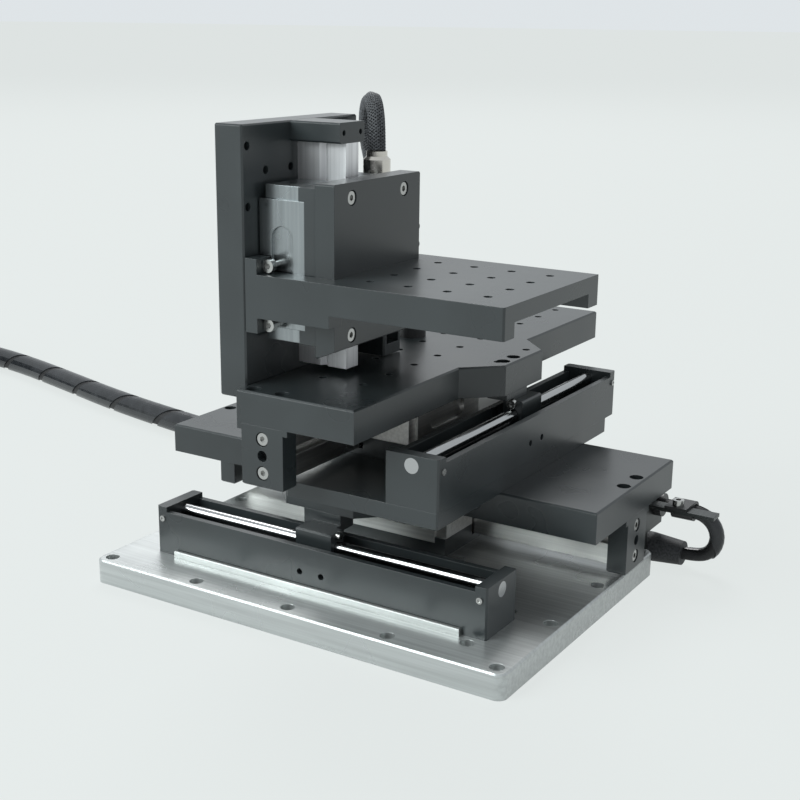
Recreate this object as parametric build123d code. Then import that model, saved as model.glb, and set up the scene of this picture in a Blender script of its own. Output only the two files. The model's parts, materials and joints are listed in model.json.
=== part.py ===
"""Three-axis linear translation stage: two crossed slides on a base plate and a lifting platform.

Millimetres, +Z up.  The origin is the centre of the base plate's underside.
X runs along the base plate's long edge, Y across it.  Every slide is drawn at joint position zero.
"""
from build123d import *
import os
from math import tan, radians

os.makedirs("parts", exist_ok=True)

# ---------------------------------------------------------------- base plate
BASE_LENGTH = 150.0
BASE_WIDTH = 108.0
BASE_THICK = 8.0
BASE_CORNER = 3.0
EDGE_BREAK = 0.5
BASE_HOLE_MARGIN = 4.0
BASE_HOLE_COLUMNS = 5
BASE_HOLE_ROWS = 4

# ---------------------------------------------------------------- screws, M2 and M2.5 socket caps
MINI_SHANK = 1.6
MINI_HEAD = 3.2
MINI_HEAD_HEIGHT = 1.6
SMALL_SHANK = 2.0
SMALL_HEAD = 3.8
SMALL_HEAD_HEIGHT = 2.0
LARGE_SHANK = 2.5
LARGE_HEAD = 4.5
LARGE_HEAD_HEIGHT = 2.5
CLEAR_HOLE_EXTRA = 0.4
COUNTERBORE_EXTRA = 0.6
COUNTERBORE_DEPTH = 2.3
DEEP_SEAT = 5.5
SOCKET_SHARE = 0.5
THREAD_HOLE = 2.5
THREAD_DEPTH = 6.0

# ---------------------------------------------------------------- crossed-roller guide, one per axis
STACK = 20.5
SADDLE_THICK = 4.2
BLOCK_LENGTH = 37.3
BLOCK_WIDTH = 44.0
BLOCK_TOP_GAP = 0.4
CAP_THICK = 4.0
CAP_INSET = 1.7
CAP_SEAT = 2.0
RAIL_WIDTH = 6.4
RAIL_HEIGHT = 16.0
RAIL_SIDE_GAP = 0.8
RAIL_FLOOR_GAP = 0.6
PAD_THICK = 1.8
PAD_LENGTH = 8.0
PAD_SIDE = 1.6
ROLLER = 2.4
ROLLER_FIT = 0.05
ROLLER_PITCH = 6.0
ROLLERS_PER_SIDE = 6
CAGE_THICK = 0.4
CAGE_HEIGHT = 7.0
CAGE_WINDOW = 2.9
SLOT_WIDTH = 7.6
SLOT_LENGTH = 22.0
SLOT_DEPTH = 0.8
END_BLOCK_WIDTH = 15.0
END_BLOCK_THICK = 6.5
END_BLOCK_HEIGHT = 18.8
END_SCREW_UPPER = 3.9
END_SCREW_LOWER = 14.3
END_SIGHT_HOLE = 3.4
END_SIGHT_DROP = 9.0
TOP_SCREW_SPACING = 10.2

# ---------------------------------------------------------------- slide plates
PLATE_THICK = 10.0
X_PLATE_LENGTH = 163.5
X_PLATE_CENTRE = -4.7
X_PLATE_FRONT = 32.5
X_PLATE_REAR = 29.0
X_RAIL_Y = 31.9
X_BLOCK_CENTRE = -3.0
Y_PLATE_LENGTH = 162.4
Y_PLATE_CENTRE = 28.6
Y_PLATE_RIGHT = 32.2
Y_PLATE_LEFT = 9.1
Y_RAIL_X = -6.7
Y_BLOCK_CENTRE = 17.1
LUG_FACE = 25.8
LUG_CHAMFER = 10.8
GRID_PITCH = 14.5
GRID_COLUMNS = 2
GRID_ROWS = 10
GRID_FIRST_X = -2.7
GRID_FIRST_Y = -27.5
LUG_HOLE_SPACING = 19.9
LUG_HOLE_INSET = 4.6

# ---------------------------------------------------------------- shaft motor, on X and Y
HOUSING_LENGTH = 123.0
HOUSING_WIDTH = 18.0
HOUSING_HEIGHT = 16.0
HOUSING_WALL = 2.0
HOUSING_END = 4.0
HOUSING_WALL_DROP = 1.7
HOUSING_BITE = 4.0
SHAFT_DIAMETER = 4.0
SHAFT_CAP = 4.7
SHAFT_CAP_THICK = 0.4
SHAFT_HEIGHT = 12.8
SLIDER_LENGTH = 13.4
SLIDER_WIDTH = 7.0
SLIDER_ABOVE = 4.9
SLIDER_BELOW = 3.9
SLIDER_BORE_GAP = 0.1
SLIDER_SCREW_RISE = 3.75
ARM_LENGTH = 14.0
ARM_DEPTH = 7.0
WALL_CLEARANCE = 0.9
ARM_SCREW_DEPTH = 2.4
HEAD_RELIEF = 0.9
X_HOUSING_CENTRE = -0.6
X_SHAFT_Y = -28.65
X_LUG_CENTRE = -8.0
X_LUG_REACH = 21.7
X_SLIDER_CENTRE = -3.3
X_ARM_CENTRE = -6.8
Y_HOUSING_CENTRE = 22.5
Y_SHAFT_X = 36.0
Y_LUG_CENTRE = 29.7
Y_LUG_REACH = 10.8
Y_SLIDER_CENTRE = 29.7
Y_ARM_CENTRE = 25.0
LOCATING_BAR_LENGTH = 107.0
LOCATING_BAR_WIDTH = 1.6
LOCATING_BAR_HEIGHT = 2.2

# ---------------------------------------------------------------- Y base plate, carried by the X slide
Y_BASE_LENGTH = 117.0
Y_BASE_LEFT = 8.4
Y_BASE_RIGHT = 44.9
Y_BASE_FRONT = 39.0
Y_BASE_THICK = 5.0
Y_BASE_SCREW_MARGIN = 4.5
Y_BASE_SCREW_OUT = 22.5
Y_BOLTED_SIDE = (-1, -1)

# ---------------------------------------------------------------- lifting axis
Z_PLATE_THICK = 10.0
Z_PLATE_WIDTH = 58.0
Z_PLATE_HEIGHT = 79.7
Z_PLATE_LAP = 4.3
Z_CENTRE_Y = -18.8
Z_FACE_X = -15.8
Z_TOP_BLOCK_WIDTH = 12.6
Z_TOP_BLOCK_THICK = 6.0
Z_BLOCK_CENTRE = 109.7
CARRIAGE_THICK = 6.7
CARRIAGE_WIDTH = 45.6
CARRIAGE_HEIGHT = 50.2
CARRIAGE_BOTTOM = 83.7
CARRIAGE_BEVEL_IN = 6.2
CARRIAGE_BEVEL_UP = 2.8
CARRIAGE_SCREW_Y = 27.8
CARRIAGE_SCREW_Z = 39.6
CARRIAGE_BITE = 6.0
Z_PLATE_HOLES = ((2.3, 6.1), (2.3, 23.3), (10.8, 13.5), (22.9, 13.4))
Z_RAIL_SCREWS = 3
Z_RAIL_FOOT = 2.0
Z_MOTOR_WIDTH = 10.0
Z_MOTOR_DEPTH = 14.8
Z_MOTOR_BOTTOM = 74.5
Z_MOTOR_TOP = 128.5
Z_MOTOR_WALL = 1.6
Z_MOTOR_END = 3.5
Z_MOTOR_GAP = 0.7
Z_SHAFT_DIAMETER = 3.0
Z_SHAFT_OUT = 9.0
Z_SLIDER_LENGTH = 18.0
Z_SLIDER_MIDDLE = 103.8
Z_SLIDER_DEPTH = 7.0
Z_SLIDER_GAP = 0.4
Z_ARM_HEIGHT = 11.0
Z_ARM_RISE = 0.5
Z_NECK_WIDTH = 2.4
Z_NECK_HEIGHT = 6.4
MINI_BITE = 4.0
Z_ARM_REACH = 3.3
Z_ARM_WIDTH = 4.5

# ---------------------------------------------------------------- platform
PLATFORM_LENGTH = 57.3
PLATFORM_TOP = 107.4
PLATFORM_SLAB = 4.8
PLATFORM_WALL = 6.4
PLATFORM_DEPTH = 9.0
PLATFORM_PITCH = 12.5
PLATFORM_HOLES = 4
PLATFORM_GRID_SHIFT = -0.6
YOKE_DEPTH = 12.7
YOKE_STEP = 2.5
YOKE_GAP = 0.4
EAR_LENGTH = 4.2
EAR_RISE = 4.5
SIDE_SCREW_RISE = 2.3
SIDE_SCREW_OUT = 2.0
SIDE_STANDOFF = 2.6

# ---------------------------------------------------------------- wiring
HARNESS = 10.0
LOOP_LEAD = 5.0
LIFT_LEAD = 6.0
LIFT_GLAND_X = -10.5
LIFT_GLAND_Y = 36.0
COIL_TURN_RADIUS = 52.0
COIL_TURNS_WIDE = 2
COIL_TURNS_HIGH = 2
PLUG_DIAMETER = 15.0
PLUG_LENGTH = 34.0
PLUG_NUT = 12.0
PLUG_STEP = 1.0
PLUG_RELIEF = 22.0
PLUG_START = 14.0
CONNECTOR_DIAMETER = 8.6
CONNECTOR_HEIGHT = 10.1
CONNECTOR_SHOULDER = 1.0
CONNECTOR_RING = 6.6
CONNECTOR_RING_HEIGHT = 1.6
CONNECTOR_SHIFT = 0.6
BOOT_WALL = 1.0
BOOT_MOUTH = 1.6
BOOT_TAPER = 0.7
GLAND_DIAMETER = 10.0
GLAND_LENGTH = 8.0
GLAND_NUT = 3.0
GLAND_NUT_STEP = 1.0
BRACKET_THICK = 2.0
BRACKET_INSET = 3.5
BRACKET_FOOT = 20.0
BRACKET_REACH = 14.5
BRACKET_TOP = 27.5
BRACKET_LIFT = 0.6
BRACKET_ARCH = 13.0
BRACKET_SCREW_BACK = (6.5, 15.0)
TAB_LENGTH = 23.0
TAB_WIDTH = 5.5
TAB_THICK = 1.2
CLIP_THICK = 0.9
CLIP_LENGTH = 7.5
CLIP_START = 6.0
CLIP_SCREW_IN = 2.8

# ---------------------------------------------------------------- heights that follow from the above
X_PLATE_BOTTOM = BASE_THICK + STACK
X_PLATE_TOP = X_PLATE_BOTTOM + PLATE_THICK
Y_BASE_TOP = X_PLATE_TOP + Y_BASE_THICK
Y_PLATE_BOTTOM = Y_BASE_TOP + STACK
Y_PLATE_TOP = Y_PLATE_BOTTOM + PLATE_THICK
Z_PLATE_BOTTOM = Y_PLATE_TOP - Z_PLATE_LAP
Z_PLATE_TOP = Z_PLATE_BOTTOM + Z_PLATE_HEIGHT
CARRIAGE_X = Z_FACE_X + STACK
PLATFORM_X = CARRIAGE_X + CARRIAGE_THICK
PLATFORM_WIDTH = CARRIAGE_WIDTH + 2 * PLATFORM_WALL
BRACKET_X = BASE_LENGTH / 2 - BRACKET_INSET
LOW = (Align.CENTER, Align.CENTER, Align.MIN)
HIGH = (Align.CENTER, Align.CENTER, Align.MAX)


# ---------------------------------------------------------------- helpers
def span(x0, x1, y0, y1, z0, z1):
    """Box between two corners."""
    corner = (Align.MIN, Align.MIN, Align.MIN)
    return Pos(x0, y0, z0) * Box(x1 - x0, y1 - y0, z1 - z0, align=corner)


def vertical_edges(solid):
    """Edges of a solid that run along its own z."""
    return solid.edges().filter_by(Axis.Z)


def top_edges(solid):
    """Edges of the highest face."""
    return solid.faces().sort_by(Axis.Z)[-1].edges()


def save(name, shape):
    """Write one node; a list of solids becomes one compound."""
    if isinstance(shape, (list, tuple)):
        solids = [solid for item in shape for solid in item.solids()]
        shape = Compound(children=solids)
    export_step(shape, "parts/" + name + ".step")


def cap_screw(shank, head, head_height, length):
    """Socket cap screw, head above z = 0 and shank below it."""
    body = Cylinder(head / 2, head_height, align=LOW)
    body += Cylinder(shank / 2, length, align=HIGH)
    socket_depth = head_height * SOCKET_SHARE
    hexagon = RegularPolygon(head * SOCKET_SHARE / 2, 6)
    return body - Pos(0, 0, head_height - socket_depth) * extrude(hexagon, socket_depth)


def small_screw(length):
    return cap_screw(SMALL_SHANK, SMALL_HEAD, SMALL_HEAD_HEIGHT, length)


def large_screw(length):
    return cap_screw(LARGE_SHANK, LARGE_HEAD, LARGE_HEAD_HEIGHT, length)


def screw_hole(shank, head, depth, sink=COUNTERBORE_DEPTH):
    """Clearance hole with a counterbore that opens upwards at z = 0."""
    bore = Cylinder((shank + CLEAR_HOLE_EXTRA) / 2, depth, align=HIGH)
    return bore + Cylinder((head + COUNTERBORE_EXTRA) / 2, sink, align=HIGH)


def seat(shank, depth):
    """Threaded hole that a screw's shank sits in, drawn at the shank's own size."""
    return Cylinder(shank / 2, depth, align=HIGH)


# ---------------------------------------------------------------- roller guide, in its own frame
# u along the rail, v across it, w from the surface that carries the saddle to the slide plate.
def v_groove(length, side_offset):
    """Square prism on its corner, along u, centred in the gap beside the rail."""
    side = ROLLER + 2 * ROLLER_FIT
    prism = Box(length, side, side)
    middle = STACK - PAD_THICK - RAIL_HEIGHT / 2
    return Pos(0, side_offset, middle) * Rot(45, 0, 0) * prism


def gap_centre():
    return RAIL_WIDTH / 2 + RAIL_SIDE_GAP / 2


def guide_saddle():
    """Black sole of the bearing, stepped up under the end caps, with a channel under the rail."""
    length = BLOCK_LENGTH + 2 * CAP_THICK
    sole = Box(length, BLOCK_WIDTH, SADDLE_THICK + CAP_SEAT, align=LOW)
    sole -= Pos(0, 0, SADDLE_THICK) * Box(BLOCK_LENGTH, BLOCK_WIDTH, CAP_SEAT, align=LOW)
    rail_bottom = STACK - PAD_THICK - RAIL_HEIGHT
    channel_bottom = rail_bottom - RAIL_FLOOR_GAP
    channel = Box(length, RAIL_WIDTH + 2 * RAIL_SIDE_GAP, SADDLE_THICK + CAP_SEAT, align=LOW)
    return sole - Pos(0, 0, channel_bottom) * channel


def guide_cheeks():
    """The two bearing cheeks, one each side of the rail, grooved inside and slotted outside."""
    inner = RAIL_WIDTH / 2 + RAIL_SIDE_GAP
    width = BLOCK_WIDTH / 2 - inner
    height = STACK - BLOCK_TOP_GAP - SADDLE_THICK
    slot_plane = Plane.XZ.offset(-BLOCK_WIDTH / 2)
    slot = extrude(slot_plane * SlotOverall(SLOT_LENGTH, SLOT_WIDTH), SLOT_DEPTH)
    cheeks = []
    for side in (-1, 1):
        cheek = Pos(0, side * (inner + width / 2), SADDLE_THICK) * Box(
            BLOCK_LENGTH, width, height, align=LOW)
        cheek -= v_groove(BLOCK_LENGTH, side * gap_centre())
        cut = slot if side > 0 else mirror(slot, about=Plane.XZ)
        cheek -= Pos(0, 0, SADDLE_THICK + height / 2) * cut
        cheeks.append(cheek)
    return cheeks


def guide_caps():
    """Four end caps that keep the rollers in."""
    inner = RAIL_WIDTH / 2 + RAIL_SIDE_GAP
    width = BLOCK_WIDTH / 2 - CAP_INSET / 2 - inner
    bottom = SADDLE_THICK + CAP_SEAT
    height = STACK - BLOCK_TOP_GAP - bottom - CAP_INSET
    along = (BLOCK_LENGTH + CAP_THICK) / 2
    cap = Box(CAP_THICK, width, height, align=LOW)
    return [Pos(end * along, side * (inner + width / 2), bottom) * cap
            for end in (-1, 1) for side in (-1, 1)]


def roller_places():
    start = -(ROLLERS_PER_SIDE - 1) / 2 * ROLLER_PITCH
    return [start + number * ROLLER_PITCH for number in range(ROLLERS_PER_SIDE)]


def guide_rollers():
    """Crossed rollers: neighbours turn their axes by a right angle."""
    middle = STACK - PAD_THICK - RAIL_HEIGHT / 2
    roller = Cylinder(ROLLER / 2, ROLLER - ROLLER_FIT)
    rollers = []
    for side in (-1, 1):
        for number, along in enumerate(roller_places()):
            tilt = 45 if number % 2 else -45
            rollers.append(Pos(along, side * gap_centre(), middle) * Rot(tilt, 0, 0) * roller)
    return rollers


def guide_cages():
    """Thin strips between rail and cheek, with a window for every roller."""
    middle = STACK - PAD_THICK - RAIL_HEIGHT / 2
    length = ROLLERS_PER_SIDE * ROLLER_PITCH
    window = Box(CAGE_WINDOW, CAGE_THICK * 2, ROLLER * 1.6)
    cages = []
    for side in (-1, 1):
        cage = Box(length, CAGE_THICK, CAGE_HEIGHT)
        for along in roller_places():
            cage -= Pos(along, 0, 0) * window
        cages.append(Pos(0, side * gap_centre(), middle) * cage)
    return cages


def guide_rail(start, end):
    """Rail with a V groove in each side, between two places along u."""
    length = end - start
    centre = (start + end) / 2
    bottom = STACK - PAD_THICK - RAIL_HEIGHT
    rail = Pos(centre, 0, bottom) * Box(length, RAIL_WIDTH, RAIL_HEIGHT, align=LOW)
    for side in (-1, 1):
        rail -= Pos(centre, 0, 0) * v_groove(length, side * gap_centre())
    return rail


def plate_pads(half_length):
    """Pads under a slide plate that the rail's ends seat on."""
    pad = Box(PAD_LENGTH, END_BLOCK_WIDTH + 2 * PAD_SIDE, PAD_THICK, align=HIGH)
    return [Pos(end * (half_length - PAD_LENGTH / 2), 0, STACK) * pad for end in (-1, 1)]


def end_block_space(half_length, end):
    """Room that an end block takes at one end of a plate, up to the plate's underside."""
    along = end * (half_length - END_BLOCK_THICK / 2)
    return Pos(along, 0, STACK) * Box(END_BLOCK_THICK, END_BLOCK_WIDTH, END_BLOCK_HEIGHT, align=HIGH)


def end_block_screws(half_length, end):
    """Places of the four screws of an end block: two into the rail, two down from the plate."""
    turn = Rot(0, 90 * end, 0)
    rail_screws = [Pos(end * half_length, 0, STACK - drop) * turn
                   for drop in (END_SCREW_UPPER, END_SCREW_LOWER)]
    along = end * (half_length - END_BLOCK_THICK / 2)
    plate_screws = [Pos(along, side * TOP_SCREW_SPACING / 2, STACK + PLATE_THICK)
                    for side in (-1, 1)]
    return rail_screws, plate_screws


def end_block(half_length, end):
    """Clamp block at one end of the rail, with counterbored screw holes and a sight hole."""
    block = end_block_space(half_length, end)
    block = chamfer(block.faces().sort_by(Axis.Z)[0].edges(), EDGE_BREAK)
    rail_screws, plate_screws = end_block_screws(half_length, end)
    for place in rail_screws:
        block -= place * screw_hole(SMALL_SHANK, SMALL_HEAD, END_BLOCK_THICK)
    sight = Pos(end * half_length, 0, STACK - END_SIGHT_DROP) * Rot(0, 90 * end, 0)
    block -= sight * Cylinder(END_SIGHT_HOLE / 2, END_BLOCK_THICK / 2, align=HIGH)
    for place in plate_screws:
        block -= place * seat(SMALL_SHANK, PLATE_THICK + THREAD_DEPTH)
    return block


def end_screw_set(half_length):
    """All end screws of one slide, heads sunk in their counterbores."""
    screws = []
    for end in (-1, 1):
        rail_screws, plate_screws = end_block_screws(half_length, end)
        for place in rail_screws:
            screws.append(place * Pos(0, 0, -COUNTERBORE_DEPTH) * small_screw(THREAD_DEPTH))
        for place in plate_screws:
            length = PLATE_THICK - DEEP_SEAT + THREAD_DEPTH - EDGE_BREAK
            screws.append(place * Pos(0, 0, -DEEP_SEAT) * small_screw(length))
    return screws


def rail_screw_seats(half_length):
    """Threaded holes in the rail's ends."""
    seats = []
    for end in (-1, 1):
        rail_screws, plate_screws = end_block_screws(half_length, end)
        seats += [place * seat(SMALL_SHANK, COUNTERBORE_DEPTH + THREAD_DEPTH)
                  for place in rail_screws]
    return seats


def slide_plate(length, right, left, lug_centre, lug_reach):
    """Slide plate in the guide's frame: a slab with a chamfered lug on its -v side."""
    half = length / 2
    half_face = LUG_FACE / 2
    foot = half_face + LUG_CHAMFER
    face = -right - lug_reach
    shoulder = face + LUG_CHAMFER
    points = [(-half, left), (-half, -right), (lug_centre - foot, -right)]
    if lug_reach > LUG_CHAMFER:
        points += [(lug_centre - foot, shoulder)]
    points += [(lug_centre - half_face, face), (lug_centre + half_face, face)]
    if lug_reach > LUG_CHAMFER:
        points += [(lug_centre + foot, shoulder)]
    points += [(lug_centre + foot, -right), (half, -right), (half, left)]
    outline = make_face(Polyline(*points, close=True))
    plate = extrude(Pos(0, 0, STACK) * outline, PLATE_THICK)
    plate = chamfer(top_edges(plate), EDGE_BREAK)
    for pad in plate_pads(half):
        plate += pad
    for end in (-1, 1):
        plate -= end_block_space(half, end)
        rail_screws, plate_screws = end_block_screws(half, end)
        for place in plate_screws:
            plate -= place * screw_hole(SMALL_SHANK, SMALL_HEAD, PLATE_THICK, DEEP_SEAT)
    return plate


# ---------------------------------------------------------------- shaft motor, in its own frame
# u along the shaft, v across it, w up from the plate that carries the housing; v < 0 faces out.
def housing_cross_screws():
    """Places of the small screws through the outer wall that hold the end walls."""
    height = HOUSING_HEIGHT - HOUSING_END
    along = HOUSING_LENGTH / 2 - HOUSING_END * 0.6
    return [Pos(end * along, -HOUSING_WIDTH / 2, height) * Rot(90, 0, 0) for end in (-1, 1)]


def motor_housing():
    """U-shaped trough with higher end walls that hold the magnet shaft."""
    body = Box(HOUSING_LENGTH, HOUSING_WIDTH, HOUSING_HEIGHT, align=LOW)
    body = chamfer(vertical_edges(body), EDGE_BREAK)
    inside = Box(HOUSING_LENGTH - 2 * HOUSING_END, HOUSING_WIDTH - 2 * HOUSING_WALL,
                 HOUSING_HEIGHT, align=LOW)
    body -= Pos(0, 0, HOUSING_WALL) * inside
    dip = Box(HOUSING_LENGTH - 2 * HOUSING_END, HOUSING_WIDTH * 2, HOUSING_WALL_DROP * 2)
    body -= Pos(0, 0, HOUSING_HEIGHT) * dip
    body -= Pos(0, 0, SHAFT_HEIGHT) * Rot(0, 90, 0) * Cylinder(SHAFT_DIAMETER / 2, HOUSING_LENGTH)
    for end in (-1, 1):
        rim = Pos(end * (HOUSING_LENGTH - SHAFT_CAP_THICK) / 2, 0, SHAFT_HEIGHT) * Rot(0, 90, 0)
        body -= rim * Cylinder(SHAFT_CAP / 2, SHAFT_CAP_THICK)
    for place in housing_cross_screws():
        body -= place * seat(SMALL_SHANK / 2, HOUSING_END)
    for along in (-HOUSING_WALL * 2, HOUSING_WALL * 2):
        hole = Pos(along, -HOUSING_WIDTH / 2, HOUSING_HEIGHT * 0.38) * Rot(90, 0, 0)
        body -= hole * Cylinder(SMALL_SHANK / 2, HOUSING_WALL * 3)
    for place in housing_foot_screws():
        body -= place * seat(SMALL_SHANK, HOUSING_WALL)
    return body


def housing_foot_screws():
    """Places of the screws in the trough's floor that hold it to its plate."""
    along = HOUSING_LENGTH / 2 - HOUSING_END * 3
    return [Pos(end * along, 0, HOUSING_WALL) for end in (-1, 1)]


def foot_screw_set(depth):
    return [place * small_screw(HOUSING_WALL + depth) for place in housing_foot_screws()]


def cross_screw_set():
    """Slim screws that hold the end walls, heads just proud of the outer wall."""
    screw = cap_screw(SMALL_SHANK / 2, SMALL_SHANK, SMALL_SHANK / 4, HOUSING_END)
    return [place * screw for place in housing_cross_screws()]


def magnet_shaft():
    """Polished shaft that holds the magnets, with a cap at each end."""
    rod = Cylinder(SHAFT_DIAMETER / 2, HOUSING_LENGTH - 2 * SHAFT_CAP_THICK)
    for end in (-1, 1):
        along = end * (HOUSING_LENGTH - SHAFT_CAP_THICK) / 2
        rod += Pos(0, 0, along) * Cylinder(SHAFT_CAP / 2, SHAFT_CAP_THICK)
    return Pos(0, 0, SHAFT_HEIGHT) * Rot(0, 90, 0) * rod


def slider_screw_place(screw_end):
    """Place of the cap screw in one end of the slider, above the shaft."""
    along = screw_end * SLIDER_LENGTH / 2
    return Pos(along, 0, SHAFT_HEIGHT + SLIDER_SCREW_RISE) * Rot(0, 90 * screw_end, 0)


def motor_slider(screw_end):
    """Coil slider that rides on the shaft, bored with a running gap."""
    block = Box(SLIDER_LENGTH, SLIDER_WIDTH, SLIDER_ABOVE + SLIDER_BELOW, align=LOW)
    block = chamfer(block.edges().filter_by(Axis.X), EDGE_BREAK)
    block = Pos(0, 0, SHAFT_HEIGHT - SLIDER_BELOW) * block
    bore = Cylinder(SHAFT_DIAMETER / 2 + SLIDER_BORE_GAP, SLIDER_LENGTH)
    block -= Pos(0, 0, SHAFT_HEIGHT) * Rot(0, 90, 0) * bore
    return block - slider_screw_place(screw_end) * seat(MINI_SHANK, THREAD_DEPTH)


def slider_screw(screw_end):
    return slider_screw_place(screw_end) * cap_screw(
        MINI_SHANK, MINI_HEAD, MINI_HEAD_HEIGHT, THREAD_DEPTH)


# ---------------------------------------------------------------- where each guide and motor sits
X_GUIDE = Plane((X_BLOCK_CENTRE, X_RAIL_Y, BASE_THICK), x_dir=(1, 0, 0), z_dir=(0, 0, 1))
X_SLIDE = Plane((X_PLATE_CENTRE, X_RAIL_Y, BASE_THICK), x_dir=(1, 0, 0), z_dir=(0, 0, 1))
Y_GUIDE = Plane((Y_RAIL_X, Y_BLOCK_CENTRE, Y_BASE_TOP), x_dir=(0, 1, 0), z_dir=(0, 0, 1))
Y_SLIDE = Plane((Y_RAIL_X, Y_PLATE_CENTRE, Y_BASE_TOP), x_dir=(0, 1, 0), z_dir=(0, 0, 1))
Z_GUIDE = Plane((CARRIAGE_X, Z_CENTRE_Y, Z_BLOCK_CENTRE), x_dir=(0, 0, 1), z_dir=(-1, 0, 0))
X_MOTOR = Plane((X_HOUSING_CENTRE, X_SHAFT_Y, BASE_THICK), x_dir=(1, 0, 0), z_dir=(0, 0, 1))
X_FORCER = Plane((X_SLIDER_CENTRE, X_SHAFT_Y, BASE_THICK), x_dir=(1, 0, 0), z_dir=(0, 0, 1))
Y_MOTOR = Plane((Y_SHAFT_X, Y_HOUSING_CENTRE, Y_BASE_TOP), x_dir=(0, 1, 0), z_dir=(0, 0, 1))
Y_FORCER = Plane((Y_SHAFT_X, Y_SLIDER_CENTRE, Y_BASE_TOP), x_dir=(0, 1, 0), z_dir=(0, 0, 1))


def place(plane, shapes):
    """Move a shape or a list of shapes from its own frame into the stage's frame."""
    if isinstance(shapes, (list, tuple)):
        return [plane.location * shape for shape in shapes]
    return plane.location * shapes


# ---------------------------------------------------------------- base plate
def base_hole_places():
    """Perimeter holes of the base plate, leaving out those under the X bearing."""
    reach_x = BASE_LENGTH / 2 - BASE_HOLE_MARGIN
    reach_y = BASE_WIDTH / 2 - BASE_HOLE_MARGIN
    places = []
    for column in range(BASE_HOLE_COLUMNS):
        for row in range(BASE_HOLE_ROWS):
            inner_column = 0 < column < BASE_HOLE_COLUMNS - 1
            inner_row = 0 < row < BASE_HOLE_ROWS - 1
            x = -reach_x + column * 2 * reach_x / (BASE_HOLE_COLUMNS - 1)
            y = -reach_y + row * 2 * reach_y / (BASE_HOLE_ROWS - 1)
            under_bearing = y > X_RAIL_Y and abs(x - X_BLOCK_CENTRE) < BLOCK_LENGTH / 2
            if not (inner_column and inner_row) and not under_bearing:
                places.append(Pos(x, y, BASE_THICK))
    return places


def bearing_screw_places():
    """Screws from below into the cheeks, in the guide's frame."""
    inner = RAIL_WIDTH / 2 + RAIL_SIDE_GAP
    side_offset = inner + (BLOCK_WIDTH / 2 - inner) * 0.45
    return [(end * BLOCK_LENGTH / 3, side * side_offset) for end in (-1, 1) for side in (-1, 1)]


def bearing_screws(floor_depth, sides=(-1, 1)):
    """Screws whose heads sit in the plate below, floor_depth under the saddle."""
    length = floor_depth - COUNTERBORE_DEPTH + SADDLE_THICK + THREAD_DEPTH
    return [Pos(along, across, -floor_depth + COUNTERBORE_DEPTH) * Rot(180, 0, 0) * small_screw(length)
            for along, across in bearing_screw_places() if across * sides[0] > 0 or across * sides[-1] > 0]


def cut_bearing_seats(shape, sides=(-1, 1)):
    """Take the bearing screws' threaded holes out of a cheek or the saddle."""
    for along, across in bearing_screw_places():
        if across * sides[0] > 0 or across * sides[-1] > 0:
            tool = Cylinder(SMALL_SHANK / 2, SADDLE_THICK + THREAD_DEPTH, align=LOW)
            shape -= Pos(along, across, 0) * tool
    return shape


def cut_bearing_counterbores(plate, plane, depth, sides=(-1, 1)):
    """Counterbored holes in a plate's underside for the bearing screws."""
    for along, across in bearing_screw_places():
        if across * sides[0] > 0 or across * sides[-1] > 0:
            tool = Pos(along, across, -depth) * Rot(180, 0, 0) * screw_hole(SMALL_SHANK, SMALL_HEAD, depth)
            plate -= place(plane, tool)
    return plate


def base_plate():
    plate = Box(BASE_LENGTH, BASE_WIDTH, BASE_THICK, align=LOW)
    plate = fillet(vertical_edges(plate), BASE_CORNER)
    plate = chamfer(top_edges(plate), EDGE_BREAK)
    for hole in base_hole_places():
        plate -= hole * screw_hole(SMALL_SHANK, SMALL_HEAD, BASE_THICK)
    for foot in housing_foot_screws():
        plate -= place(X_MOTOR, Pos(foot.position) * Pos(0, 0, -HOUSING_WALL) * seat(SMALL_SHANK, THREAD_DEPTH))
    for hole in housing_side_hole_places():
        plate -= hole * screw_hole(SMALL_SHANK, SMALL_HEAD, BASE_THICK)
    for tapped in bracket_screw_places():
        plate -= tapped * Pos(0, 0, -BRACKET_THICK) * seat(SMALL_SHANK, THREAD_DEPTH)
    return cut_bearing_counterbores(plate, X_GUIDE, BASE_THICK)


def housing_side_hole_places():
    """Two spare holes in the base, in front of and behind the X housing's right end."""
    x = X_HOUSING_CENTRE + HOUSING_LENGTH / 2 - HOUSING_END
    reach = HOUSING_WIDTH / 2 + SMALL_HEAD
    return [Pos(x, X_SHAFT_Y + side * reach, BASE_THICK) for side in (-1, 1)]


def locating_bar():
    """Bar on the base that the X housing's front foot seats against."""
    front = X_SHAFT_Y - HOUSING_WIDTH / 2
    bar = Box(LOCATING_BAR_LENGTH, LOCATING_BAR_WIDTH, LOCATING_BAR_HEIGHT, align=LOW)
    bar = chamfer(top_edges(bar), EDGE_BREAK / 2)
    return Pos(X_HOUSING_CENTRE, front - LOCATING_BAR_WIDTH / 2, BASE_THICK) * bar


# ---------------------------------------------------------------- X and Y slides
def bearing_block(sides=(-1, 1)):
    return [cut_bearing_seats(cheek, sides) for cheek in guide_cheeks()]


def bearing_saddle(sides=(-1, 1)):
    return cut_bearing_seats(guide_saddle(), sides)


def slide_rail(half_length):
    """Rail of a slide, between its end blocks, with screw holes in its ends."""
    reach = half_length - END_BLOCK_THICK
    rail = guide_rail(-reach, reach)
    for hole in rail_screw_seats(half_length):
        rail -= hole
    return rail


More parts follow.
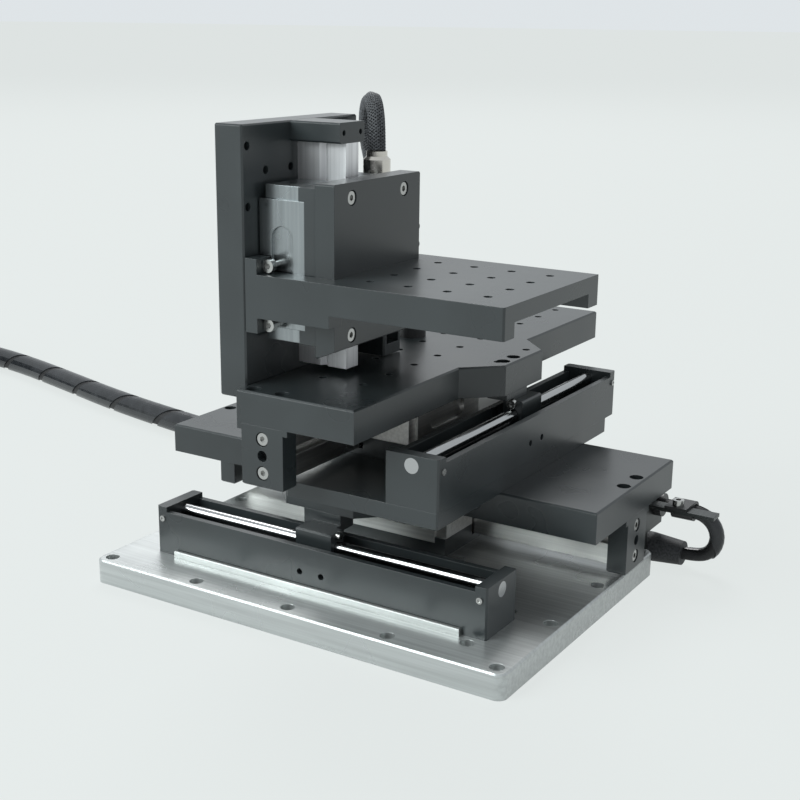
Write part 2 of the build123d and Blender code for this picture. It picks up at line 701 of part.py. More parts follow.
def x_table_plate():
    half = X_PLATE_LENGTH / 2
    plate = slide_plate(X_PLATE_LENGTH, X_PLATE_FRONT, X_PLATE_REAR,
                        X_LUG_CENTRE - X_PLATE_CENTRE, X_LUG_REACH)
    plate = place(X_SLIDE, plate)
    for screw in y_base_screw_places():
        plate -= screw * Pos(0, 0, -Y_BASE_THICK) * seat(SMALL_SHANK, THREAD_DEPTH)
    for screw in x_arm_screw_places():
        plate -= screw * screw_hole(SMALL_SHANK, SMALL_HEAD, PLATE_THICK, DEEP_SEAT)
    return plate


def x_arm_screw_places():
    y = X_RAIL_Y - X_PLATE_FRONT - X_LUG_REACH + ARM_DEPTH / 2
    return [Pos(X_ARM_CENTRE + end * ARM_LENGTH / 4, y, X_PLATE_TOP) for end in (-1, 1)]


def x_drive_arm():
    """Angle from the X plate's lug over the trough's wall to the slider's back."""
    face = X_RAIL_Y - X_PLATE_FRONT - X_LUG_REACH
    left = X_ARM_CENTRE - ARM_LENGTH / 2
    right = X_ARM_CENTRE + ARM_LENGTH / 2
    bottom = BASE_THICK + HOUSING_HEIGHT - HOUSING_WALL_DROP + WALL_CLEARANCE
    tongue_top = BASE_THICK + SHAFT_HEIGHT + SLIDER_ABOVE - EDGE_BREAK
    arm = span(left, right, face, face + ARM_DEPTH, bottom, X_PLATE_BOTTOM)
    tongue_left = X_SLIDER_CENTRE - SLIDER_LENGTH / 2
    arm += span(tongue_left, right, X_SHAFT_Y + SLIDER_WIDTH / 2, face, bottom, tongue_top)
    for screw in x_arm_screw_places():
        arm -= screw * seat(SMALL_SHANK, PLATE_THICK + ARM_SCREW_DEPTH - HEAD_RELIEF)
    return arm


def y_arm_screw_places():
    x = Y_RAIL_X + Y_PLATE_RIGHT + Y_LUG_REACH - ARM_DEPTH / 2
    return [Pos(x, Y_ARM_CENTRE + end * ARM_LENGTH / 4, Y_PLATE_TOP) for end in (-1, 1)]


def y_drive_arm():
    """Block between the Y plate's lug and the top of the Y slider."""
    face = Y_RAIL_X + Y_PLATE_RIGHT + Y_LUG_REACH
    bottom = Y_BASE_TOP + SHAFT_HEIGHT + SLIDER_ABOVE
    arm = span(face - ARM_DEPTH, face, Y_ARM_CENTRE - ARM_LENGTH / 2,
               Y_ARM_CENTRE + ARM_LENGTH / 2, bottom, Y_PLATE_BOTTOM)
    slider_end = Y_SLIDER_CENTRE - SLIDER_LENGTH / 2
    arm -= span(face - ARM_DEPTH, face, Y_ARM_CENTRE - ARM_LENGTH / 2, slider_end,
                bottom, bottom + HEAD_RELIEF)
    for screw in y_arm_screw_places():
        arm -= screw * seat(SMALL_SHANK, PLATE_THICK + ARM_SCREW_DEPTH - HEAD_RELIEF)
    return arm


def arm_screw_set(places):
    length = PLATE_THICK - DEEP_SEAT + ARM_SCREW_DEPTH - HEAD_RELIEF
    return [screw * Pos(0, 0, -DEEP_SEAT) * small_screw(length) for screw in places]


def y_base_screw_places():
    """Screws in the Y base plate, beside the bearing and beside the housing."""
    x = Y_BASE_SCREW_OUT
    front = X_RAIL_Y - X_PLATE_FRONT + Y_BASE_SCREW_MARGIN
    rear = X_RAIL_Y + X_PLATE_REAR - Y_BASE_SCREW_MARGIN
    return [Pos(x, y, Y_BASE_TOP) for y in (front, rear)]


def y_base_plate():
    rear = Y_BASE_LENGTH - Y_BASE_FRONT
    plate = span(-Y_BASE_LEFT, Y_BASE_RIGHT, -Y_BASE_FRONT, rear, X_PLATE_TOP, Y_BASE_TOP)
    plate = chamfer(vertical_edges(plate), EDGE_BREAK)
    for screw in y_base_screw_places():
        plate -= screw * screw_hole(SMALL_SHANK, SMALL_HEAD, Y_BASE_THICK)
    for foot in housing_foot_screws():
        hole = Pos(foot.position) * Pos(0, 0, -HOUSING_WALL) * seat(SMALL_SHANK, Y_BASE_THICK)
        plate -= place(Y_MOTOR, hole)
    return cut_bearing_counterbores(plate, Y_GUIDE, Y_BASE_THICK, Y_BOLTED_SIDE)


def grid_places():
    """Tapped holes in the top of the Y plate, leaving out the row at the lug's rear."""
    return [Pos(GRID_FIRST_X + column * GRID_PITCH, GRID_FIRST_Y + row * GRID_PITCH, Y_PLATE_TOP)
            for column in range(GRID_COLUMNS) for row in range(GRID_ROWS)]


def lug_hole_places():
    x = Y_RAIL_X + Y_PLATE_RIGHT + Y_LUG_REACH - LUG_HOLE_INSET
    return [Pos(x, Y_LUG_CENTRE + end * LUG_HOLE_SPACING / 2, Y_PLATE_TOP) for end in (-1, 1)]


def y_table_plate():
    plate = slide_plate(Y_PLATE_LENGTH, Y_PLATE_RIGHT, Y_PLATE_LEFT,
                        Y_LUG_CENTRE - Y_PLATE_CENTRE, Y_LUG_REACH)
    plate = place(Y_SLIDE, plate)
    for hole in grid_places() + lug_hole_places():
        plate -= hole * Cylinder(THREAD_HOLE / 2, THREAD_DEPTH, align=HIGH)
    for screw in y_arm_screw_places():
        plate -= screw * screw_hole(SMALL_SHANK, SMALL_HEAD, PLATE_THICK, DEEP_SEAT)
    for screw in z_plate_screw_places():
        plate -= screw * Pos(0, 0, -Z_PLATE_THICK) * seat(SMALL_SHANK, THREAD_DEPTH)
    gland = Pos(LIFT_GLAND_X, LIFT_GLAND_Y, Y_PLATE_TOP)
    return plate - gland * Cylinder(LIFT_LEAD / 2, THREAD_DEPTH, align=HIGH)


# ---------------------------------------------------------------- lifting axis
def z_plate_screw_places():
    """Screws through the foot of the Z back plate into the side of the Y plate."""
    z = (Z_PLATE_BOTTOM + Y_PLATE_TOP) / 2
    spread = Z_PLATE_WIDTH / 2 - LARGE_HEAD
    x = Z_FACE_X - Z_PLATE_THICK
    return [Pos(x, Z_CENTRE_Y + side * spread, z) * Rot(0, -90, 0) for side in (-1, 0, 1)]


def z_side_hole_places():
    """Spare tapped holes near the top corners of the Z back plate."""
    half = Z_PLATE_WIDTH / 2
    places = []
    for side in (-1, 1):
        for inset, drop in Z_PLATE_HOLES:
            place_hole = Pos(Z_FACE_X, Z_CENTRE_Y + side * (half - inset), Z_PLATE_TOP - drop)
            places.append(place_hole * Rot(0, 90, 0))
    return places


def z_back_plate():
    plate = span(Z_FACE_X - Z_PLATE_THICK, Z_FACE_X, Z_CENTRE_Y - Z_PLATE_WIDTH / 2,
                 Z_CENTRE_Y + Z_PLATE_WIDTH / 2, Z_PLATE_BOTTOM, Z_PLATE_TOP)
    plate = chamfer(plate.edges(), EDGE_BREAK)
    for screw in z_plate_screw_places():
        plate -= screw * screw_hole(SMALL_SHANK, SMALL_HEAD, Z_PLATE_THICK)
    for hole in z_side_hole_places():
        plate -= hole * Cylinder(THREAD_HOLE / 2, THREAD_DEPTH, align=HIGH)
    for screw in z_rail_screw_places():
        plate -= screw * screw_hole(SMALL_SHANK, SMALL_HEAD, Z_PLATE_THICK)
    return plate


def z_rail_screw_places():
    """Screws through the Z back plate into the rail."""
    bottom = Y_PLATE_TOP + Z_RAIL_FOOT
    top = Z_PLATE_TOP - Z_TOP_BLOCK_THICK
    step = (top - bottom) / Z_RAIL_SCREWS
    x = Z_FACE_X - Z_PLATE_THICK
    return [Pos(x, Z_CENTRE_Y, bottom + (number + 0.5) * step) * Rot(0, -90, 0)
            for number in range(Z_RAIL_SCREWS)]


def z_rail():
    """Upright rail seated on a rib the width of the rail."""
    bottom = Y_PLATE_TOP + Z_RAIL_FOOT - Z_BLOCK_CENTRE
    top = Z_PLATE_TOP - Z_TOP_BLOCK_THICK - Z_BLOCK_CENTRE
    rail = guide_rail(bottom, top)
    rib = Pos((bottom + top) / 2, 0, STACK) * Box(top - bottom, RAIL_WIDTH - 2 * EDGE_BREAK, PAD_THICK, align=HIGH)
    rail = place(Z_GUIDE, rail + rib)
    for screw in z_rail_screw_places():
        rail -= screw * seat(SMALL_SHANK, Z_PLATE_THICK + THREAD_DEPTH)
    return rail


def z_top_screw_places():
    z = Z_PLATE_TOP - Z_TOP_BLOCK_THICK / 2
    x = Z_FACE_X + PAD_THICK + RAIL_HEIGHT
    spread = Z_TOP_BLOCK_WIDTH / 2 - SMALL_SHANK
    return [Pos(x, Z_CENTRE_Y + side * spread, z) * Rot(0, 90, 0) for side in (-1, 1)]


def z_top_block():
    """Stop block over the rail's top end."""
    block = span(Z_FACE_X, Z_FACE_X + PAD_THICK + RAIL_HEIGHT, Z_CENTRE_Y - Z_TOP_BLOCK_WIDTH / 2,
                 Z_CENTRE_Y + Z_TOP_BLOCK_WIDTH / 2, Z_PLATE_TOP - Z_TOP_BLOCK_THICK, Z_PLATE_TOP)
    block = chamfer(block.edges().filter_by(Axis.X), EDGE_BREAK)
    for screw in z_top_screw_places():
        block -= screw * Cylinder(MINI_SHANK / 2, RAIL_HEIGHT / 2, align=HIGH)
    return block


def carriage_screw_places():
    """Four counterbored screws through the carriage plate into the bearing cheeks."""
    return [Pos(PLATFORM_X, Z_CENTRE_Y + side * CARRIAGE_SCREW_Y / 2,
                Z_BLOCK_CENTRE + end * CARRIAGE_SCREW_Z / 2) * Rot(0, 90, 0)
            for side in (-1, 1) for end in (-1, 1)]


def carriage_screw_set():
    length = CARRIAGE_THICK - COUNTERBORE_DEPTH + SADDLE_THICK + CARRIAGE_BITE
    return [screw * Pos(0, 0, -COUNTERBORE_DEPTH) * small_screw(length)
            for screw in carriage_screw_places()]


def cut_carriage_seats(shape):
    for screw in carriage_screw_places():
        shape -= screw * seat(SMALL_SHANK, CARRIAGE_THICK + SADDLE_THICK + CARRIAGE_BITE)
    return shape


def cut_side_seats(shape):
    for screw in side_screw_places():
        shape -= screw * seat(SMALL_SHANK, THREAD_DEPTH)
    return shape


def carriage_plate():
    plate = span(CARRIAGE_X, PLATFORM_X, Z_CENTRE_Y - CARRIAGE_WIDTH / 2, Z_CENTRE_Y + CARRIAGE_WIDTH / 2,
                 CARRIAGE_BOTTOM, CARRIAGE_BOTTOM + CARRIAGE_HEIGHT)
    plate = chamfer(plate.edges().filter_by(Axis.X), EDGE_BREAK)
    bevel = Polyline((PLATFORM_X, CARRIAGE_BOTTOM), (PLATFORM_X, CARRIAGE_BOTTOM + CARRIAGE_BEVEL_UP),
                     (PLATFORM_X - CARRIAGE_BEVEL_IN, CARRIAGE_BOTTOM), close=True)
    corner = Plane.XZ.offset(-Z_CENTRE_Y) * make_face(bevel)
    plate -= extrude(corner, CARRIAGE_WIDTH / 2, both=True)
    for screw in carriage_screw_places():
        plate -= screw * screw_hole(SMALL_SHANK, SMALL_HEAD, CARRIAGE_THICK)
    for screw in platform_screw_places():
        plate -= screw * Pos(0, 0, -PLATFORM_WALL) * seat(SMALL_SHANK, THREAD_DEPTH)
    for screw in z_arm_screw_places():
        plate -= screw * Pos(0, 0, -Z_ARM_WIDTH) * seat(MINI_SHANK, THREAD_DEPTH)
    return plate


# ---------------------------------------------------------------- platform
def platform_front():
    return Z_CENTRE_Y - PLATFORM_WIDTH / 2


def platform_hole_places():
    start = -(PLATFORM_HOLES - 1) / 2 * PLATFORM_PITCH
    steps = [start + number * PLATFORM_PITCH for number in range(PLATFORM_HOLES)]
    centre_x = PLATFORM_X + PLATFORM_LENGTH / 2 + PLATFORM_GRID_SHIFT
    return [Pos(centre_x + along, Z_CENTRE_Y + across, PLATFORM_TOP) for along in steps for across in steps]


def platform_screw_places():
    """Two screws through the far side wall into the carriage plate's edge."""
    x = PLATFORM_X - CARRIAGE_THICK / 2
    y = Z_CENTRE_Y + PLATFORM_WIDTH / 2
    middle = PLATFORM_TOP - PLATFORM_DEPTH / 2
    return [Pos(x, y, middle + end * PLATFORM_DEPTH / 4) * Rot(-90, 0, 0) for end in (-1, 1)]


def side_screw_places():
    """Screws in the near cheek of the Z bearing, above and below the yoke arm."""
    x = Z_FACE_X + YOKE_GAP + EAR_LENGTH + SIDE_SCREW_OUT
    top = PLATFORM_TOP + SIDE_SCREW_RISE
    bottom = PLATFORM_TOP - YOKE_DEPTH - SIDE_SCREW_RISE
    return [Pos(x, Z_CENTRE_Y - BLOCK_WIDTH / 2, z) * Rot(90, 0, 0) for z in (top, bottom)]


def yoke_spacer_depth():
    """Distance from the near side wall's inner face to the bearing cheek."""
    return (CARRIAGE_WIDTH - BLOCK_WIDTH) / 2


def platform():
    """Table with side walls; the near wall reaches back beside the bearing as a yoke arm."""
    y0 = platform_front()
    y1 = y0 + PLATFORM_WIDTH
    right = PLATFORM_X + PLATFORM_LENGTH
    bottom = PLATFORM_TOP - PLATFORM_DEPTH
    table = span(PLATFORM_X, right, y0, y1, PLATFORM_TOP - PLATFORM_SLAB, PLATFORM_TOP)
    for wall in (y0, y1 - PLATFORM_WALL):
        table += span(CARRIAGE_X, right, wall, wall + PLATFORM_WALL, bottom, PLATFORM_TOP)
    ear_left = Z_FACE_X + YOKE_GAP
    arm_bottom = PLATFORM_TOP - YOKE_DEPTH
    arm_right = PLATFORM_X + YOKE_STEP
    table += span(ear_left, arm_right, y0, y0 + PLATFORM_WALL, arm_bottom, PLATFORM_TOP)
    table += span(ear_left, ear_left + EAR_LENGTH, y0, y0 + PLATFORM_WALL,
                  arm_bottom - EAR_RISE, PLATFORM_TOP + EAR_RISE)
    inner = y0 + PLATFORM_WALL
    table += span(ear_left + EDGE_BREAK, CARRIAGE_X - SADDLE_THICK, inner, inner + yoke_spacer_depth(),
                  arm_bottom, PLATFORM_TOP)
    far_corners = table.edges().filter_by(Axis.Z).sort_by(Axis.X)[-2:]
    table = chamfer(far_corners, EDGE_BREAK)
    for hole in platform_hole_places():
        table -= hole * Cylinder(THREAD_HOLE / 2, PLATFORM_SLAB, align=HIGH)
    for screw in platform_screw_places():
        table -= screw * screw_hole(SMALL_SHANK, SMALL_HEAD, PLATFORM_WALL)
    return table


def platform_screw_set():
    length = PLATFORM_WALL - COUNTERBORE_DEPTH + THREAD_DEPTH - EDGE_BREAK
    return [screw * Pos(0, 0, -COUNTERBORE_DEPTH) * small_screw(length)
            for screw in platform_screw_places()]


def side_screw_set():
    """Screws that stand off the cheek, so that their heads reach over the yoke arm."""
    return [screw * Pos(0, 0, SIDE_STANDOFF) * small_screw(SIDE_STANDOFF + THREAD_DEPTH)
            for screw in side_screw_places()]


# ---------------------------------------------------------------- lifting drive, behind the bearing
def z_motor_middle():
    """Centre of the Z shaft in plan."""
    front = Z_CENTRE_Y + BLOCK_WIDTH / 2 + Z_MOTOR_GAP
    return Z_FACE_X + Z_SHAFT_OUT, front + Z_MOTOR_WIDTH / 2


def z_motor_housing():
    """Channel on the Z back plate, open towards the carriage."""
    x, y = z_motor_middle()
    half = Z_MOTOR_WIDTH / 2
    face = Z_FACE_X + Z_MOTOR_DEPTH
    body = span(Z_FACE_X, face, y - half, y + half, Z_MOTOR_BOTTOM, Z_MOTOR_TOP)
    inside = span(Z_FACE_X + Z_MOTOR_WALL, face, y - half + Z_MOTOR_WALL, y + half - Z_MOTOR_WALL,
                  Z_MOTOR_BOTTOM + Z_MOTOR_END, Z_MOTOR_TOP - Z_MOTOR_END)
    body = chamfer(body.edges().filter_by(Axis.Z), EDGE_BREAK) - inside
    height = Z_MOTOR_TOP - Z_MOTOR_BOTTOM
    body -= Pos(x, y, Z_MOTOR_BOTTOM) * Cylinder(Z_SHAFT_DIAMETER / 2, height, align=LOW)
    return body


def z_magnet_shaft():
    x, y = z_motor_middle()
    return Pos(x, y, Z_MOTOR_BOTTOM) * Cylinder(
        Z_SHAFT_DIAMETER / 2, Z_MOTOR_TOP - Z_MOTOR_BOTTOM, align=LOW)


def z_slider():
    """Coil slider on the Z shaft, centred in its travel."""
    x, y = z_motor_middle()
    width = Z_MOTOR_WIDTH - 2 * Z_MOTOR_WALL - 2 * Z_SLIDER_GAP
    block = Box(Z_SLIDER_DEPTH, width, Z_SLIDER_LENGTH)
    block = chamfer(block.edges().filter_by(Axis.Z), EDGE_BREAK)
    block -= Cylinder(Z_SHAFT_DIAMETER / 2 + SLIDER_BORE_GAP, Z_SLIDER_LENGTH)
    return Pos(x, y, Z_SLIDER_MIDDLE) * block


def z_arm_screw_places():
    x = (CARRIAGE_X + Z_FACE_X + STACK + Z_ARM_REACH) / 2
    z = PLATFORM_TOP + Z_ARM_RISE + Z_ARM_HEIGHT / 2
    y = Z_CENTRE_Y + CARRIAGE_WIDTH / 2 + Z_ARM_WIDTH
    return [Pos(x, y, z + end * Z_ARM_HEIGHT / 4) * Rot(-90, 0, 0) for end in (-1, 1)]


def z_drive_arm():
    """Arm from the Z slider to the side of the carriage plate."""
    x, y = z_motor_middle()
    bottom = PLATFORM_TOP + Z_ARM_RISE
    side = Z_CENTRE_Y + CARRIAGE_WIDTH / 2
    slider_face = x + Z_SLIDER_DEPTH / 2
    outside = Z_FACE_X + Z_MOTOR_DEPTH + Z_SLIDER_GAP
    arm = span(outside, CARRIAGE_X + Z_ARM_REACH, side, side + Z_ARM_WIDTH, bottom, bottom + Z_ARM_HEIGHT)
    neck_front = side + Z_ARM_WIDTH - Z_NECK_WIDTH
    arm += span(slider_face, outside, neck_front, side + Z_ARM_WIDTH, bottom, bottom + Z_NECK_HEIGHT)
    for screw in z_arm_screw_places():
        arm -= screw * seat(MINI_SHANK, Z_ARM_WIDTH)
    return arm


def z_arm_screw_set():
    screw = cap_screw(MINI_SHANK, MINI_HEAD, MINI_HEAD_HEIGHT, Z_ARM_WIDTH + MINI_BITE)
    return [screw_place * screw for screw_place in z_arm_screw_places()]


def z_connector():
    """Round cable connector on the Z motor's top."""
    x, y = z_motor_middle()
    body = Cylinder(CONNECTOR_DIAMETER / 2, CONNECTOR_HEIGHT - CONNECTOR_RING_HEIGHT, align=LOW)
    body = chamfer(top_edges(body), CONNECTOR_SHOULDER)
    ring_bottom = CONNECTOR_HEIGHT - CONNECTOR_RING_HEIGHT
    body += Pos(0, 0, ring_bottom) * Cylinder(CONNECTOR_RING / 2, CONNECTOR_RING_HEIGHT, align=LOW)
    return Pos(x - CONNECTOR_SHIFT, y, Z_MOTOR_TOP) * body


# ---------------------------------------------------------------- wiring
def corner_radii(points):
    """Bend radius for each corner of a route: 0.45 of the shorter run over tan(half the turn)."""
    radii = []
    for before, corner, after in zip(points, points[1:], points[2:]):
        run_in = Vector(corner) - Vector(before)
        run_out = Vector(after) - Vector(corner)
        turn = run_in.get_angle(run_out)
        radii.append(0.45 * min(run_in.length, run_out.length) / tan(radians(turn / 2)))
    return radii


def cord_tube(name, points, diameter):
    """Tube of straight runs joined by tangent arcs."""
    radii = corner_radii(points)
    route = FilletPolyline(*points, radius=radii)
    start = Plane(origin=points[0], z_dir=Vector(points[1]) - Vector(points[0]))
    tube = sweep(start * Circle(diameter / 2), path=route)
    section = 3.14159265 * diameter ** 2 / 4
    print(name, "length", round(route.length, 1), "volume ratio", round(tube.volume / (section * route.length), 4),
          "radii", [round(radius, 1) for radius in radii])
    return tube


def lift_route():
    """Up out of the Z motor's connector, over, and down into the gland on the Y plate."""
    x, y = z_motor_middle()
    x -= CONNECTOR_SHIFT
    top = Z_MOTOR_TOP + CONNECTOR_HEIGHT
    return [
        (x, y, top),
        (x - 0.3, y + 0.3, top + 6.6),
        (x - 2.6, y + 3.0, top + 12.4),
        (x - 6.7, y + 7.6, top + 15.0),
        (x - 11.2, y + 12.8, top + 13.8),
        (x - 14.9, y + 17.0, top + 9.0),
        (x - 16.6, y + 20.0, top + 1.0),
        (-22.2, 31.4, 127.6),
        (-16.6, 34.6, 111.8),
        (-11.3, 36.1, 97.4),
        (LIFT_GLAND_X, LIFT_GLAND_Y, Y_PLATE_TOP + GLAND_LENGTH),
    ]


LOOP_ROUTE = [
    (74.0, 63.5, 21.1),
    (80.6, 63.4, 21.2),
    (87.4, 63.5, 21.0),
    (91.7, 63.6, 18.0),
    (93.4, 63.8, 13.0),
    (91.8, 64.0, 8.0),
    (87.4, 64.2, 5.1),
    (81.5, 64.35, 5.0),
]
HARNESS_ROUTE = [
    (66.0, 64.6, 5.0),
    (36.0, 65.6, 5.0),
    (-6.0, 68.4, 5.0),
    (-54.0, 71.5, 5.0),
    (-104.0, 77.5, 5.0),
    (-156.0, 86.0, 5.0),
    (-208.0, 96.5, 5.0),
    (-258.0, 111.0, 5.0),
    (-298.0, 121.5, 5.0),
    (-332.0, 126.5, 5.0),
    (-358.0, 127.0, 5.0),
]
COIL_CENTRE_X = -372.0
COIL_CENTRE_Y = 70.0


def harness_boot():
    """Tapered sleeve end between the loop lead and the harness."""
    start = Vector(LOOP_ROUTE[-1])
    end = Vector(HARNESS_ROUTE[0])
    axis = Plane(origin=start, z_dir=end - start)
    length = (end - start).length
    boot = Cone(LOOP_LEAD / 2 + BOOT_MOUTH, HARNESS / 2, length * BOOT_TAPER, align=LOW)
    boot += Pos(0, 0, length * BOOT_TAPER) * Cylinder(HARNESS / 2, length * (1 - BOOT_TAPER), align=LOW)
    return axis * boot


def coil_radii():
    """Middle radius of each ring of turns."""
    return [COIL_TURN_RADIUS + (ring - (COIL_TURNS_WIDE - 1) / 2) * HARNESS
            for ring in range(COIL_TURNS_WIDE)]


def harness_coil():
    """Closed ring of the coiled harness's outer shape."""
    radii = coil_radii()
    outer = radii[-1] + HARNESS / 2
    inner = radii[0] - HARNESS / 2
    ring = Cylinder(outer, COIL_TURNS_HIGH * HARNESS, align=LOW)
    ring -= Cylinder(inner, COIL_TURNS_HIGH * HARNESS, align=LOW)
    return Pos(COIL_CENTRE_X, COIL_CENTRE_Y, 0) * ring


def harness_plug():
    """Round plug beside the coil, with a tapered strain relief that the last turn runs into."""
    radius = PLUG_DIAMETER / 2
    relief = Cone(HARNESS / 2 + BOOT_WALL, radius - PLUG_STEP, PLUG_RELIEF, align=LOW)
    body = Cylinder(radius - PLUG_STEP, PLUG_LENGTH - PLUG_NUT, align=LOW)
    nut = Cylinder(radius, PLUG_NUT, align=LOW)
    nut = chamfer(top_edges(nut), EDGE_BREAK)
    plug = relief + Pos(0, 0, PLUG_RELIEF) * body
    plug += Pos(0, 0, PLUG_RELIEF + PLUG_LENGTH - PLUG_NUT) * nut
    axis = Plane(origin=(COIL_CENTRE_X + PLUG_START, COIL_CENTRE_Y - coil_radii()[-1], radius), z_dir=(1, 0, 0))
    return axis * plug


# ---------------------------------------------------------------- bracket and clip
def bracket_screw_places():
    """Screws through the bracket's foot into the base plate's rear edge."""
    y = BASE_WIDTH / 2 + BRACKET_THICK
    return [Pos(BRACKET_X - back, y, BASE_THICK / 2) * Rot(-90, 0, 0) for back in BRACKET_SCREW_BACK]


def tab_top():
    """Top of the bracket's tab: the clip's ear lies on it, level with the top of its ring."""
    return LOOP_ROUTE[0][2] + LOOP_LEAD / 2


def clip_middle():
    return BRACKET_X + CLIP_START + CLIP_LENGTH / 2


def clip_screw_place():
    """Screw down through the clip's ear into the tab."""
    return Pos(clip_middle(), BASE_WIDTH / 2 + CLIP_SCREW_IN, tab_top() + CLIP_THICK)


def cable_bracket():
    """Bent plate: foot on the base's rear edge, upright flange across the lead, tab beside it."""
    rear = BASE_WIDTH / 2
    left = BRACKET_X - BRACKET_FOOT
    foot = span(left, BRACKET_X, rear, rear + BRACKET_THICK, BRACKET_LIFT, BASE_THICK - EDGE_BREAK)
    flange = BRACKET_X - BRACKET_THICK
    bracket = foot + span(flange, BRACKET_X, rear, rear + BRACKET_THICK, BRACKET_LIFT, BRACKET_TOP)
    bracket += span(flange, BRACKET_X, rear, rear + BRACKET_REACH, BRACKET_ARCH, BRACKET_TOP)
    tab = span(flange, BRACKET_X + TAB_LENGTH, rear, rear + TAB_WIDTH, tab_top() - TAB_THICK, tab_top())
    bracket += tab
    lead = Vector(LOOP_ROUTE[0])
    bracket -= Pos(BRACKET_X, lead.Y, lead.Z) * Rot(0, 90, 0) * Cylinder(
        LOOP_LEAD / 2 + BOOT_WALL, 2 * BRACKET_THICK)
    for screw in bracket_screw_places():
        bracket -= screw * seat(SMALL_SHANK, BRACKET_THICK)
    return bracket - clip_screw_place() * seat(SMALL_SHANK, CLIP_THICK + TAB_THICK)


def lead_clip():
    """P-clip: a ring round the lead and a flat ear screwed to the bracket's tab."""
    lead = Vector(LOOP_ROUTE[0])
    ring = Cylinder(LOOP_LEAD / 2 + CLIP_THICK, CLIP_LENGTH)
    ring = Pos(clip_middle(), lead.Y, lead.Z) * Rot(0, 90, 0) * ring
    start = BRACKET_X + CLIP_START
    ear = span(start, start + CLIP_LENGTH, BASE_WIDTH / 2, lead.Y, tab_top(), tab_top() + CLIP_THICK)
    bore = Pos(clip_middle(), lead.Y, lead.Z) * Rot(0, 90, 0) * Cylinder(LOOP_LEAD / 2, CLIP_LENGTH)
    clip = ring + ear - bore
    return clip - clip_screw_place() * seat(SMALL_SHANK, CLIP_THICK)


def lead_gland():
    """Gland in the upright flange that the loop lead comes out of."""
    lead = Vector(LOOP_ROUTE[0])
    inner = LOOP_LEAD / 2 + BOOT_WALL
    out = lead.X - BRACKET_X
    turn = Rot(0, -90, 0)
    body = turn * Cylinder(inner, out + BRACKET_THICK + GLAND_NUT, align=LOW)
    nut = turn * Cylinder(inner + GLAND_NUT_STEP, GLAND_NUT, align=LOW)
    collar = turn * Cylinder(inner + GLAND_NUT_STEP / 2, out, align=LOW)
    return Pos(lead.X, lead.Y, lead.Z) * (body + Pos(-out - BRACKET_THICK, 0, 0) * nut + collar)


def lift_gland():
    """Gland on the Y plate that the lift lead goes into."""
    foot = Cylinder(GLAND_DIAMETER / 2, GLAND_LENGTH * 0.6, align=LOW)
    cone = Pos(0, 0, GLAND_LENGTH * 0.6) * Cone(
        GLAND_DIAMETER / 2, LIFT_LEAD / 2 + BOOT_WALL, GLAND_LENGTH * 0.4, align=LOW)
    stem = Cylinder(LIFT_LEAD / 2, THREAD_DEPTH, align=HIGH)
    return Pos(LIFT_GLAND_X, LIFT_GLAND_Y, Y_PLATE_TOP) * (foot + cone + stem)


# ---------------------------------------------------------------- write every node
X_HALF = X_PLATE_LENGTH / 2
Y_HALF = Y_PLATE_LENGTH / 2

save("base_plate", base_plate())
save("x_locating_bar", locating_bar())
save("x_motor_housing", place(X_MOTOR, motor_housing()))
save("x_magnet_shaft", place(X_MOTOR, magnet_shaft()))
save("x_base_screws", place(X_MOTOR, foot_screw_set(HOUSING_BITE) + cross_screw_set())
     + place(X_GUIDE, bearing_screws(BASE_THICK))
     + [screw * small_screw(BRACKET_THICK + THREAD_DEPTH - EDGE_BREAK)
        for screw in bracket_screw_places()]
     + [clip_screw_place() * small_screw(CLIP_THICK + TAB_THICK + EDGE_BREAK)])
save("x_saddle", place(X_GUIDE, bearing_saddle()))
save("x_bearing_block", place(X_GUIDE, bearing_block()))
save("x_bearing_end_caps", place(X_GUIDE, guide_caps()))
save("x_rollers", place(X_GUIDE, guide_rollers()))
save("x_roller_cages", place(X_GUIDE, guide_cages()))

save("x_table_plate", x_table_plate())
save("x_rail", place(X_SLIDE, slide_rail(X_HALF)))
save("x_end_block_left", place(X_SLIDE, end_block(X_HALF, -1)))
save("x_end_block_right", place(X_SLIDE, end_block(X_HALF, 1)))
save("x_drive_arm", x_drive_arm())
save("x_slider", place(X_FORCER, motor_slider(1)))
save("x_table_screws", place(X_SLIDE, end_screw_set(X_HALF))
     + arm_screw_set(x_arm_screw_places()) + [place(X_FORCER, slider_screw(1))])

save("y_base_plate", y_base_plate())
save("y_motor_housing", place(Y_MOTOR, motor_housing()))
save("y_magnet_shaft", place(Y_MOTOR, magnet_shaft()))
save("y_base_screws", place(Y_MOTOR, foot_screw_set(Y_BASE_THICK - EDGE_BREAK) + cross_screw_set())
     + [screw * Pos(0, 0, -COUNTERBORE_DEPTH) * small_screw(Y_BASE_THICK)
        for screw in y_base_screw_places()]
     + place(Y_GUIDE, bearing_screws(Y_BASE_THICK, Y_BOLTED_SIDE)))
save("y_saddle", place(Y_GUIDE, bearing_saddle(Y_BOLTED_SIDE)))
save("y_bearing_block", place(Y_GUIDE, bearing_block(Y_BOLTED_SIDE)))
save("y_bearing_end_caps", place(Y_GUIDE, guide_caps()))
save("y_rollers", place(Y_GUIDE, guide_rollers()))
save("y_roller_cages", place(Y_GUIDE, guide_cages()))

save("y_table_plate", y_table_plate())
save("y_rail", place(Y_SLIDE, slide_rail(Y_HALF)))
save("y_end_block_front", place(Y_SLIDE, end_block(Y_HALF, -1)))
save("y_end_block_rear", place(Y_SLIDE, end_block(Y_HALF, 1)))
save("y_drive_arm", y_drive_arm())
save("y_slider", place(Y_FORCER, motor_slider(-1)))
save("y_table_screws", place(Y_SLIDE, end_screw_set(Y_HALF))
     + arm_screw_set(y_arm_screw_places()) + [place(Y_FORCER, slider_screw(-1))])

